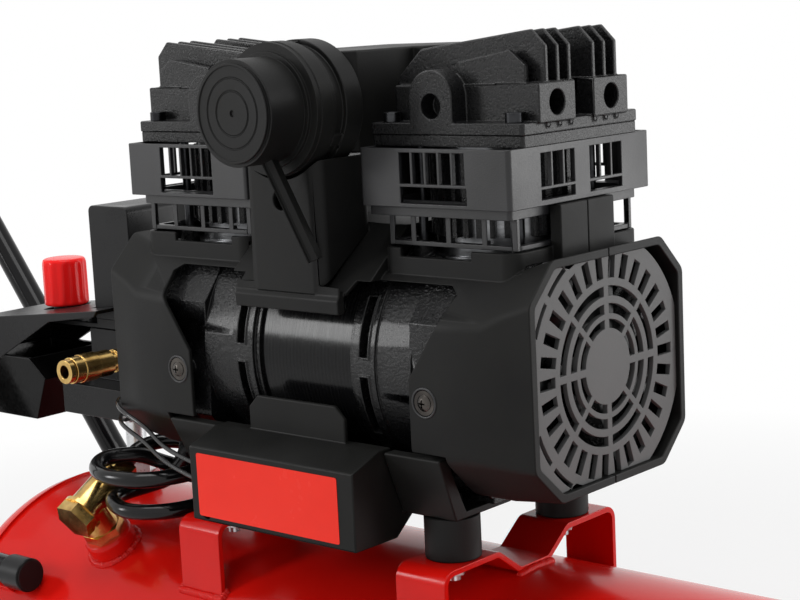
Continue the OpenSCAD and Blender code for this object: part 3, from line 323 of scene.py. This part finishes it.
def joined_copy(node):
    data = nodes[node].data.copy()
    shape = bmesh.new()
    shape.from_mesh(data)
    bmesh.ops.remove_doubles(shape, verts=shape.verts, dist=1e-5)
    bmesh.ops.dissolve_degenerate(shape, edges=shape.edges, dist=1e-5)
    shape.to_mesh(data)
    surface = BVHTree.FromBMesh(shape)
    shape.free()
    for layer in [a.name for a in data.attributes if a.name == "custom_normal"]:
        data.attributes.remove(data.attributes[layer])
    return data, surface


def rounded(piece, bevel_mm):
    """Round the edges, then weight the normals so that flat faces stay flat."""
    piece.data.shade_smooth()
    bevel = piece.modifiers.new("rounded_edges", "BEVEL")
    bevel.width = bevel_mm / 1000
    bevel.segments = 2
    bevel.limit_method = "ANGLE"
    bevel.angle_limit = math.radians(edge_degrees)
    bevel.use_clamp_overlap = False
    bevel.loop_slide = False
    bevel.harden_normals = True
    evaluated = piece.evaluated_get(bpy.context.evaluated_depsgraph_get())
    data = bpy.data.meshes.new_from_object(evaluated)
    piece.modifiers.clear()
    piece.data = data
    return data


def dress(node, material, bevel_mm):
    name = node + "_finished"
    data, surface = joined_copy(node)
    data.materials.clear()
    data.materials.append(material)
    for face in data.polygons:
        face.material_index = 0
    piece = new_object(name, data)
    if bevel_mm:
        data = rounded(piece, bevel_mm)
        # No corner stands off the old surface by more than half the bevel. One that does goes back.
        for vertex in data.vertices:
            place, _, _, away = surface.find_nearest(vertex.co)
            if away > 0.0005 * bevel_mm:
                vertex.co = place
    else:
        shade(data, edge_degrees)
    data.name = name
    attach(piece, body_of_node[node])
    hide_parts(node)
    return piece


# %% Dress everything
finishes = {
    "tank_shell": (red_enamel, 0), "tank_head_left": (red_enamel, 0),
    "tank_head_right": (red_enamel, 0), "tank_sockets": (red_enamel, 0.8),
    "wheel_bracket": (red_enamel, 0.5), "support_foot": (red_enamel, 0.5),
    "handle_saddles": (red_enamel, 0.5), "pump_brackets": (red_enamel, 0.6),
    "inspection_plug": (brass, 0.5), "drain_valve": (brass, 0.4), "check_valve": (brass, 0),
    "quick_coupler": (brass, 0.4), "coupler_sleeve": (brass, 0.4),
    "rubber_feet": (mount_rubber, 0.6), "rubber_mounts": (mount_rubber, 1.0),
    "tyre_front": (tyre_rubber, 0.6), "tyre_rear": (tyre_rubber, 0.6),
    "wheel_hub_front": (abs_black, 0.6),
    "wheel_hub_rear": (abs_black, 0.6), "wheel_axles": (zinc, 0.5), "handle_bolts": (zinc, 0.4),
    "mount_bolts": (zinc, 0.4), "riser": (zinc, 0.5), "head_bolts": (black_steel, 0.3),
    "handle_tube": (black_enamel, 0), "handle_grip": (grip_rubber, 0.8),
    "handle_caps": (abs_black, 0.8), "motor_cradle": (nylon_cradle, 1.2),
    "air_guides": (nylon_guide, 0.5), "filter_base": (nylon_black, 0.8),
    "filter_cap": (nylon_black, 0.4), "cowl_front": (nylon_black, 0.9),
    "cowl_rear": (nylon_black, 0.9), "grille_left": (grille_nylon_painted_sheen, 0.4),
    "grille_right": (grille_nylon_painted_sheen, 0.4), "intake_box": (nylon_black, 1.5), "fans": (abs_black, 0.4),
    "drain_knob": (abs_black, 0.5), "regulator_knob": (abs_black, 0.5),
    "pressure_switch": (abs_grey, 0.8), "manifold": (abs_grey, 0.8),
    "control_console": (abs_grey, 0.8), "end_shield_left": (cast_shield, 0.6),
    "end_shield_right": (cast_shield, 0.6), "head_left": (cast_head, 1.0),
    "head_right": (cast_head, 1.0), "stator": (varnish, 0.4), "rotor_shaft": (ground_steel, 0.3),
    "motor_bearings": (ground_steel, 0.4), "cowl_screws": (dark_zinc, 0),
    "cylinder_liners": (liner_metal_painted_shade, 0.4), "wobble_pistons": (liner_metal_painted_shade, 0.4),
    "valve_plates": (cast_head, 0.5), "filter_element": (foam, 0.8)}
pieces = {node: dress(node, *finish) for node, finish in finishes.items()}
print("dressed", len(pieces), "of", len(nodes), "parts")

# %% [markdown]
# ## Places
# The details that follow are placed from two centre lines: the motor's axis and the tank's axis.
# Both are read from the CAD parts, so nothing is typed twice. Sizes are in millimetres, and one
# function turns them into metres in the object's own frame.

# %% Centre lines
def middle(node):
    low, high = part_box(node)
    return (Vector(low) + Vector(high)) / 2


def radius_mm(node):
    """Half the height of a round part that lies on its side."""
    low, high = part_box(node)
    return (high[2] - low[2]) * 500


motor_centre = middle("stator")
tank_centre = middle("tank_shell")
tank_r = radius_mm("tank_shell")


def placed(centre, point_mm):
    return centre + Vector(point_mm) / 1000


print("motor", motor_centre[:], "tank", tank_centre[:], "tank radius", round(tank_r, 1), "mm")

# %% [markdown]
# ## Repeats with Geometry Nodes
# Weld beads, tread blocks, cooling ribs and hoses all repeat one small shape, or follow a line. A
# Geometry Nodes tree does that well: the tree is the recipe, and its named inputs are the sizes.
# The result is turned into a plain mesh, so nothing depends on the modifier later.

# %% Grow a piece from a tree
def node_group(name, **inputs):
    """An empty tree with named inputs, given as name=(socket type, value)."""
    tree = bpy.data.node_groups.new(name, "GeometryNodeTree")
    tree.interface.new_socket("Geometry", in_out="INPUT", socket_type="NodeSocketGeometry")
    for label, (kind, value) in inputs.items():
        socket = tree.interface.new_socket(label, in_out="INPUT", socket_type="NodeSocket" + kind)
        if value is not None:
            socket.default_value = value
    tree.interface.new_socket("Geometry", in_out="OUTPUT", socket_type="NodeSocketGeometry")
    return tree, add(tree, "NodeGroupInput").outputs, add(tree, "NodeGroupOutput")


def painted(tree, geometry, given, result):
    """The last step of every tree: set the material and give the mesh out."""
    made = add(tree, "GeometryNodeSetMaterial", {"Geometry": geometry,
                                                 "Material": given["Material"]})
    tree.links.new(made.outputs[0], result.inputs[0])
    return tree


def lines_mesh(name, lines):
    """A mesh of edges only: each line is a list of points in metres."""
    points = [p for line in lines for p in line]
    edges, start = [], 0
    for line in lines:
        edges += [(start + i, start + i + 1) for i in range(len(line) - 1)]
        start += len(line)
    data = bpy.data.meshes.new(name)
    data.from_pydata(points, edges, [])
    return data


def grown(name, tree, start, body, slot, **values):
    """Run the tree on a start mesh and keep the result as a plain mesh that rides on a body."""
    piece = new_object(name, start)
    modifier = piece.modifiers.new("grow", "NODES")
    modifier.node_group = tree
    for item in tree.interface.items_tree:
        if item.in_out == "INPUT" and item.name in values:
            modifier[item.identifier] = values[item.name]
    evaluated = piece.evaluated_get(bpy.context.evaluated_depsgraph_get())
    data = bpy.data.meshes.new_from_object(evaluated)
    piece.modifiers.clear()
    piece.data = data
    data.name = name
    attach(piece, body)
    print(name, len(data.polygons), "faces")
    return piece


# It is a stiff rubber hose, 11.4 mm thick, wound twice round before it goes up. Two thin tubes
# carry the air signal to the pressure switch. A round outline swept along the line gives a smooth
# hose. All three are held at both ends.

# %% The lines they follow
def smooth_line(points, steps):
    """Catmull-Rom: a curve that goes through every point."""
    line = []
    for i in range(len(points) - 1):
        a, b = points[max(i - 1, 0)], points[i]
        c, d = points[i + 1], points[min(i + 2, len(points) - 1)]
        for k in range(steps):
            t = k / steps
            line.append(0.5 * (2 * b + (c - a) * t + (2 * a - 5 * b + 4 * c - d) * t * t
                               + (3 * b - a - 3 * c + d) * t ** 3))
    return line + [points[-1]]


# The hose starts in the check valve's side nut. The valve leans to the front with its socket, and
# the nut is placed in that leaning frame, square to the valve and out from the tank's axis.
valve_lean = math.radians(31)
nut_across, nut_out = 43, 187
motor_above_tank = 284
nut_y = nut_across * math.cos(valve_lean) - nut_out * math.sin(valve_lean)
nut_z = nut_across * math.sin(valve_lean) + nut_out * math.cos(valve_lean) - motor_above_tank
hose_points = [
    (-214, nut_y, nut_z), (-213, -45, -92), (-205, -27, -89), (-183, -18, -90), (-154, -23, -91),
    (-133, -43, -93), (-130, -72, -94), (-146, -98, -95), (-175, -106, -95), (-200, -97, -94),
    (-208, -82, -91), (-197, -62, -91), (-188, -45, -99), (-172, -31, -108), (-147, -38, -116),
    (-129, -60, -118), (-135, -90, -118), (-161, -104, -118), (-187, -95, -116), (-195, -75, -116),
    (-190, -56, -114), (-178, -50, -109), (-166, -49, -98), (-157, -48, -84), (-155.5, -48, -62)]
signal_points = [
    [(-236, -30, -60), (-222, -46, -56), (-202, -70, -48), (-182, -86, -50), (-152, -90, -59),
     (-120, -98, -69), (-74, -104, -76)],
    [(-236, -34, -69), (-224, -48, -68), (-202, -70, -61), (-180, -86, -62), (-150, -93, -69),
     (-118, -101, -78), (-74, -106, -86)]]
hose_line, *signal_lines = [smooth_line([placed(motor_centre, p) for p in line], 8)
                            for line in [hose_points] + signal_points]


def line_length(line):
    return sum((b - a).length for a, b in zip(line, line[1:]))


print("hose", round(line_length(hose_line), 3), "m, tubes",
      [round(line_length(line), 3) for line in signal_lines], "m")

# %% Sweep the hoses
tree, given, result = node_group("swept_hose", Radius=("Float", 0.0057), Sides=("Int", 20),
                                 Material=("Material", None))
line = add(tree, "GeometryNodeMeshToCurve", {"Mesh": given["Geometry"]})
outline = add(tree, "GeometryNodeCurvePrimitiveCircle", {"Resolution": given["Sides"],
                                                         "Radius": given["Radius"]})
sweep = add(tree, "GeometryNodeCurveToMesh", {"Curve": line.outputs["Curve"],
                                              "Profile Curve": outline.outputs["Curve"]})
sweep.inputs["Fill Caps"].default_value = True
swept_hose = painted(tree, sweep.outputs["Mesh"], given, result)

cap_degrees = 50        # keeps the flat ends of a hose or a knob crisp
hose = grown("delivery_hose", swept_hose, lines_mesh("hose_line", [hose_line]), "compressor",
             slot_of_node["discharge_hose"], Radius=0.0057, Sides=24, Material=hose_rubber)
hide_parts("discharge_hose")
shade(hose.data, cap_degrees)
for name, line in zip(("signal_tube_upper", "signal_tube_lower"), signal_lines):
    sleeve = grown(name, swept_hose, lines_mesh(name + "_line", [line]), "compressor",
                   slot_of_node["signal_tubes"], Radius=0.0016, Sides=14, Material=pvc_sleeve)
    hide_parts("signal_tubes")
    shade(sleeve.data, cap_degrees)

# %% [markdown]
# ## Rims round the cowl's screws
# Each screw of the cowl sits in a shallow round recess with a raised rim. Rays are cast on to the
# cowl all round the screw, and the same swept tree lays a thin ring where they land.

# %% Screw rims
rim_radius, rim_steps = 9.0, 40
screw_x, screw_z = 110.8, -13.1     # from the motor's middle
outside = 130                       # the rays start in front of the cowl and behind it
rings = []
for cowl, side in (("cowl_front", -1), ("cowl_rear", 1)):
    surface = joined_copy(cowl)[1]
    for end in (-1, 1):
        ring = []
        for k in range(rim_steps + 1):
            angle = 2 * math.pi * k / rim_steps
            start = placed(motor_centre, (end * screw_x + rim_radius * math.cos(angle),
                                          side * outside,
                                          screw_z + rim_radius * math.sin(angle)))
            ring.append(surface.ray_cast(start, Vector((0, -side, 0)))[0])
        rings.append(ring)
        print(cowl, "rim depth", round((max(p.y for p in ring) - min(p.y for p in ring)) * 1000, 2),
              "mm")
rims = grown("screw_rims", swept_hose, lines_mesh("rim_lines", rings), "compressor",
             slot_of_node["cowl_front"], Radius=0.0008, Sides=10, Material=nylon_guide)
rims.data.shade_smooth()

# %% [markdown]
# ## Welds
# Brackets, feet and sockets are welded to the tank before it is painted. A weld is a row of small
# overlapping ripples, one for each step of the welder's hand. The line of each weld is worked out
# from where the two parts meet, and the tree sets one squashed ball at every step along it.

# %% A bead of ripples
tree, given, result = node_group("weld_bead", Step=("Float", 0.0022), Radius=("Float", 0.0024),
                                 Seed=("Int", 1), Material=("Material", None))
line = add(tree, "GeometryNodeMeshToCurve", {"Mesh": given["Geometry"]})
steps = add(tree, "GeometryNodeResampleCurve", {"Curve": line.outputs["Curve"],
                                                "Length": given["Step"]}, mode="LENGTH")
ball = add(tree, "GeometryNodeMeshUVSphere", {"Radius": given["Radius"]}, Segments=8, Rings=6)
along = add(tree, "GeometryNodeInputTangent")
turned = add(tree, "FunctionNodeAlignRotationToVector", {"Vector": along.outputs[0]}, axis="X")
vary = add(tree, "FunctionNodeRandomValue", {"Seed": given["Seed"]}, data_type="FLOAT_VECTOR")
vary.inputs[0].default_value = (0.7, 0.88, 0.88)
vary.inputs[1].default_value = (0.9, 1.14, 1.14)
beads = add(tree, "GeometryNodeInstanceOnPoints", {
    "Points": steps.outputs["Curve"], "Instance": ball.outputs["Mesh"],
    "Rotation": turned.outputs[0], "Scale": vary.outputs[0]})
real = add(tree, "GeometryNodeRealizeInstances", {"Geometry": beads.outputs[0]})
weld_bead = painted(tree, real.outputs[0], given, result)


# %% Where the welds run
def on_tank(x, y, side):
    """A point on the tank's skin, on its upper side (1) or its lower side (-1)."""
    return placed(tank_centre, (x, y, side * math.sqrt(tank_r ** 2 - y * y)))


def straight(x0, y0, x1, y1, side=1):
    """A line that is straight from above and follows the skin, with a point every 2 mm."""
    count = max(2, int(math.hypot(x1 - x0, y1 - y0) / 2))
    return [on_tank(x0 + (x1 - x0) * k / count, y0 + (y1 - y0) * k / count, side)
            for k in range(count + 1)]


def socket_ring(x, lean_degrees, radius, steps=48):
    """Where a round socket meets the tank. It leans round the tank's axis, 0 being straight up."""
    lean, line = math.radians(lean_degrees), []
    for k in range(steps + 1):
        angle = 2 * math.pi * k / steps
        u, v = radius * math.cos(angle), radius * math.sin(angle)
        height = math.sqrt(tank_r ** 2 - v * v)
        line.append(placed(tank_centre, (x + u, v * math.cos(lean) - height * math.sin(lean),
                                         v * math.sin(lean) + height * math.cos(lean))))
    return line


bracket_x, bracket_half = 101, 20.5     # middle of a pump bracket, and half its width
foot_far, foot_near = 92.5, 87.5        # the two edges of each of its feet
seat_half = 17                          # half of the flat seat between them
sockets = ((-214, 31, 19), (-270, 0, 17.5), (220, 180, 13.5))      # x, lean, radius
supports = ((276, 80), (324, 80), (-316, 60), (-284, 60))          # x, half length, underneath
welds = []
for end in (-1, 1):
    low_x, high_x = end * bracket_x - bracket_half, end * bracket_x + bracket_half
    for front in (-1, 1):
        far, near = front * foot_far, front * foot_near
        welds += [straight(low_x, far, high_x, far), straight(low_x, near, high_x, near),
                  straight(low_x, far, low_x, near), straight(high_x, far, high_x, near)]
    welds += [straight(x, -seat_half, x, seat_half) for x in (low_x, high_x)]
welds += [socket_ring(*socket) for socket in sockets]
welds += [straight(x, -reach, x, reach, side=-1) for x, reach in supports]
weld_piece = grown("weld_beads", weld_bead, lines_mesh("weld_lines", welds), "compressor",
                   slot_of_node["tank_shell"], Step=0.0019, Radius=0.003, Seed=3,
                   Material=red_enamel)
weld_piece.data.shade_smooth()

# %% [markdown]
# ## Ribs round the cylinders
# Each cylinder stands in a ring of upright cast ribs that hand its heat to the fan's air. They show
# through the windows of the air guides as a dark comb with bright gaps. One rib is a thin upright
# box, and a circle of points carries a copy of it at every step.

# %% A ring of blocks
tree, given, result = node_group("ring_of_blocks", Count=("Int", 32), Radius=("Float", 0.046),
                                 Size=("Vector", (0.004, 0.003, 0.05)),
                                 Material=("Material", None))
points = add(tree, "GeometryNodeMeshCircle", {"Vertices": given["Count"],
                                              "Radius": given["Radius"]})
outward = add(tree, "GeometryNodeInputPosition")
turned = add(tree, "FunctionNodeAlignRotationToVector", {"Vector": outward.outputs[0]}, axis="X")
block = add(tree, "GeometryNodeMeshCube", {"Size": given["Size"]})
ring = add(tree, "GeometryNodeInstanceOnPoints", {
    "Points": points.outputs["Mesh"], "Instance": block.outputs["Mesh"],
    "Rotation": turned.outputs[0]})
real = add(tree, "GeometryNodeRealizeInstances", {"Geometry": ring.outputs[0]})
ring_of_blocks = painted(tree, real.outputs[0], given, result)


def moved(piece, matrix):
    """Put the place into the mesh, so that the object itself stays at the origin."""
    piece.data.transform(matrix)
    piece.data.update()


cylinder_x, ribs_z = 110, 109       # the middle of the ribs, from the motor's middle
for name, end in (("cylinder_ribs_left", -1), ("cylinder_ribs_right", 1)):
    ribs = grown(name, ring_of_blocks, lines_mesh(name + "_start", []), "compressor",
                 slot_of_node["head_left"], Count=34, Radius=0.0463,
                 Size=(0.0046, 0.0036, 0.053), Material=cast_head)
    moved(ribs, Matrix.Translation(placed(motor_centre, (end * cylinder_x, 0, ribs_z))))

# %% [markdown]
# ## Tyre tread
# The solid tyres have a middle band and two shoulders between their grooves. Cross cuts divide
# them into blocks, which grip on rough ground. The blocks are rings again: the tyre's own skin is
# taken in by 2 mm, and three rings of blocks stand on it, the outer ones leaning with the shoulder.

# %% Tread blocks
wheel_r = radius_mm("tyre_front")
crown_r = 30                        # the tyre's crown is an arc of this radius across
taken_in, tread_half = 0.002, 0.0205    # in metres: the skin goes in by this, over this half width
rim_zone = 8                        # only skin this close to the outer radius belongs to the tread
block_sink = 1.75                   # the blocks' middles lie this far under the old crown
tread_rows = [(0, 0.0, 14.0), (-13.2, -26, 8.5), (13.2, 26, 8.5)]   # across, lean, width
for side in ("front", "rear"):
    tyre = pieces["tyre_" + side]
    hub = middle("tyre_" + side)
    for vertex in tyre.data.vertices:
        arm = vertex.co - hub
        radius = math.hypot(arm.x, arm.z)
        if radius > (wheel_r - rim_zone) / 1000 and abs(arm.y) < tread_half:
            arm.x, arm.z = arm.x * (1 - taken_in / radius), arm.z * (1 - taken_in / radius)
            vertex.co = hub + arm
    for row, (across, lean, width) in enumerate(tread_rows):
        crown = wheel_r - crown_r + math.sqrt(crown_r ** 2 - across * across)
        blocks = grown("tread_%s_%d" % (side, row), ring_of_blocks,
                       lines_mesh("tread_start", []), "wheel_" + side,
                       slot_of_node["tyre_" + side], Count=42,
                       Radius=(crown - block_sink) / 1000, Size=(0.0028, 0.0105, width / 1000),
                       Material=tyre_rubber)
        for vertex in blocks.data.vertices:
            radius = math.hypot(vertex.co.x, vertex.co.y)
            change = -vertex.co.z * math.tan(math.radians(abs(lean))) * (1 if across > 0 else -1)
            if across:
                factor = (radius + change) / radius
                vertex.co.x, vertex.co.y = vertex.co.x * factor, vertex.co.y * factor
            vertex.co.z += across / 1000
        moved(blocks, Matrix.Translation(hub) @ Matrix.Rotation(math.radians(-90), 4, "X"))

# %% [markdown]
# ## The switch's pull knob
# The knob that starts and stops the motor is a red cap with shallow flutes for the fingers. It is
# turned like a pot: a half outline goes from the middle of the top, over the rim and down, then up
# inside the skirt and down the stem. The flutes come from a small wave in the radius.

# %% Turn the knob
def fluted_turning(name, outline, flutes, depth, material, centre, sides=160):
    """A closed shell. Outline points are (radius, height, share of the flute's depth) in mm."""
    shape = bmesh.new()
    rings = []
    for radius, height, share in outline:
        if radius == 0:
            rings.append([shape.verts.new(placed(centre, (0, 0, height)))])
            continue
        ring = []
        for k in range(sides):
            angle = 2 * math.pi * k / sides
            r = radius - share * depth * (0.5 + 0.5 * math.cos(flutes * angle))
            ring.append(shape.verts.new(placed(centre, (r * math.cos(angle), r * math.sin(angle),
                                                        height))))
        rings.append(ring)
    for one, two in zip(rings, rings[1:]):
        for k in range(sides):
            nxt = (k + 1) % sides
            corners = [one[k % len(one)], two[k % len(two)], two[nxt % len(two)],
                       one[nxt % len(one)]]
            unique = list(dict.fromkeys(corners))
            if len(unique) > 2:
                shape.faces.new(unique)
    bmesh.ops.recalc_face_normals(shape, faces=shape.faces)
    data = bpy.data.meshes.new(name)
    shape.to_mesh(data)
    shape.free()
    data.materials.append(material)
    shade(data, cap_degrees)
    return new_object(name, data)


knob_outline = [(0, 37.5, 0), (14.6, 37.5, 0), (15.6, 37.3, 0), (16.6, 36.6, 0), (17.2, 35.6, 0.2),
                (17.6, 34.2, 0.7), (17.8, 32, 1), (17.9, 5, 1), (17.9, 3.2, 0.6), (17.8, 1.6, 0.1),
                (17.5, 0.4, 0), (17.0, 0, 0), (14.8, 0, 0), (14.8, 11, 0), (5, 11, 0), (5, -9, 0),
                (0, -9, 0)]
knob_foot = placed(motor_centre, (-354, 8, 0))
flute_count, flute_depth = 12, 0.8
knob = fluted_turning("pull_knob", knob_outline, flute_count, flute_depth, abs_red, knob_foot)
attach(knob, body_of_node["switch_knob"])
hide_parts("switch_knob")
print("knob", len(knob.data.polygons), "faces")

# %% [markdown]
# ## The bare label and the glossy pod
# A red film label covers the front of the cradle's box. It is left bare. It is 0.3 mm thick with
# small rounded corners, and a clear laminate gives it a sharper shine than the paint. The pod under
# the hood of the controls is polished, while the hood has the usual grain.

# %% Label
label_film = moulded_plastic("laminated_red_film", "EA2B1B", "F03020", 0.22, 6, 0.01, coat=0.1,
                             shine=0.12)
cradle_front = (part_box("motor_cradle")[0][1] - motor_centre.y) * 1000


def rounded_rectangle(x0, x1, z0, z1, radius, steps=6):
    corners = [(x1 - radius, z1 - radius, 0), (x0 + radius, z1 - radius, 90),
               (x0 + radius, z0 + radius, 180), (x1 - radius, z0 + radius, 270)]
    return [(cx + radius * math.cos(math.radians(start + 90 * k / steps)),
             cz + radius * math.sin(math.radians(start + 90 * k / steps)))
            for cx, cz, start in corners for k in range(steps + 1)]


left, right_end, bottom, top = -67, 60.5, -103, -60.3       # from the motor's middle
proud, sunk = 0.3, 0.2                  # in front of the cradle's face, and into it
outline = rounded_rectangle(left, right_end, bottom, top, 1.6)
shape = bmesh.new()
front = [shape.verts.new(placed(motor_centre, (x, cradle_front - proud, z))) for x, z in outline]
back = [shape.verts.new(placed(motor_centre, (x, cradle_front + sunk, z))) for x, z in outline]
shape.faces.new(front)
shape.faces.new(back)
for k in range(len(outline)):
    shape.faces.new([front[k], back[k], back[(k + 1) % len(back)], front[(k + 1) % len(front)]])
bmesh.ops.recalc_face_normals(shape, faces=shape.faces)
label_mesh = bpy.data.meshes.new("front_label")
shape.to_mesh(label_mesh)
shape.free()
label_mesh.materials.append(label_film)
label = new_object("front_label", label_mesh)
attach(label, "compressor")
print("label", right_end - left, "x", round(top - bottom, 1), "mm, on y =", round(cradle_front, 1))

# %% Polish the pod
console = pieces["control_console"].data
console.materials.append(abs_gloss)
hood_depth = 0.0385                     # from the motor's axis down to the hood's lower edge
pod_top = motor_centre.z - hood_depth
polished = [face for face in console.polygons if face.center.z < pod_top]
for face in polished:
    face.material_index = 1
print("polished", len(polished), "of", len(console.polygons), "faces")

# %% [markdown]
# ## Floor and light
# The object stands on flat white studio paper. Near the object the paper is a plain surface that
# takes its shadow. Farther out it fades into the white that the camera and the reflections see all
# round, so no horizon shows. Three soft boxes light it, and the world fills the shadows.

# %% Floor
floor_mesh = bpy.data.meshes.new("floor")
size = 9.0
floor_mesh.from_pydata([(-size, -size, 0), (size, -size, 0), (size, size, 0), (-size, size, 0)], [],
                       [(0, 1, 2, 3)])
floor = new_object("floor", floor_mesh)
paper, tree, bsdf, place = new_material("studio_paper", Roughness=0.9, Specular_IOR_Level=0.2)
tone = blend_colours(tree, grain(tree, place, 400, detail=2), "F4F4F4", "F8F8F8")
tree.links.new(tone, bsdf.inputs["Base Color"])


def looked_at(tree):
    """1 for rays that come straight from the camera, a mirror or glass, and 0 for the rest."""
    rays = add(tree, "ShaderNodeLightPath")
    seen = add(tree, "ShaderNodeMath", {0: rays.outputs["Is Camera Ray"],
                                        1: rays.outputs["Is Glossy Ray"]}, operation="MAXIMUM")
    return add(tree, "ShaderNodeMath", {0: seen.outputs[0], 1: rays.outputs["Is Transmission Ray"]},
               operation="MAXIMUM").outputs[0]


away = add(tree, "ShaderNodeVectorMath", {0: place}, operation="LENGTH").outputs["Value"]
fade = between(tree, away, 0, 1, 0.55, 1.9)
white_part = add(tree, "ShaderNodeMath", {0: fade, 1: looked_at(tree)}, operation="MULTIPLY")
white_paper = add(tree, "ShaderNodeEmission", Color=(1, 1, 1, 1), Strength=1.0)
both = add(tree, "ShaderNodeMixShader", {0: white_part.outputs[0], 1: bsdf.outputs[0],
                                         2: white_paper.outputs[0]})
tree.links.new(both.outputs[0], tree.nodes["Material Output"].inputs["Surface"])
floor_mesh.materials.append(paper)
print("floor", size * 2, "m wide")

# %% Light
world = bpy.data.worlds.new("studio")
bpy.context.scene.world = world
world.use_nodes = True
tree = world.node_tree
tree.nodes.clear()
white = add(tree, "ShaderNodeBackground", Color=(1, 1, 1, 1), Strength=1.0)
soft = add(tree, "ShaderNodeBackground", Color=(1, 1, 1, 1), Strength=0.5)
mix = add(tree, "ShaderNodeMixShader", {0: looked_at(tree), 1: soft.outputs[0],
                                        2: white.outputs[0]})
add(tree, "ShaderNodeOutputWorld", {"Surface": mix.outputs[0]})


def soft_box(name, place, aim, width, height, power):
    data = bpy.data.lights.new(name, "AREA")
    data.shape = "RECTANGLE"
    data.size = width
    data.size_y = height
    data.energy = power
    direction = Vector(aim) - Vector(place)
    lamp = new_object(name, data)
    lamp.matrix_world = (Matrix.Translation(place)
                         @ direction.to_track_quat("-Z", "Y").to_matrix().to_4x4())


soft_box("top_box", (0.2, -0.3, 2.4), (0.1, 0, 0.4), 1.8, 1.0, 24)
soft_box("left_box", (-1.5, -1.77, 1.15), (0.14, 0, 0.5), 0.45, 0.75, 17)
soft_box("right_box", (2.2, 2.0, 0.9), (0.1, 0, 0.5), 1.6, 1.8, 37)
bpy.context.scene.view_settings.view_transform = "Standard"
print("three soft boxes")
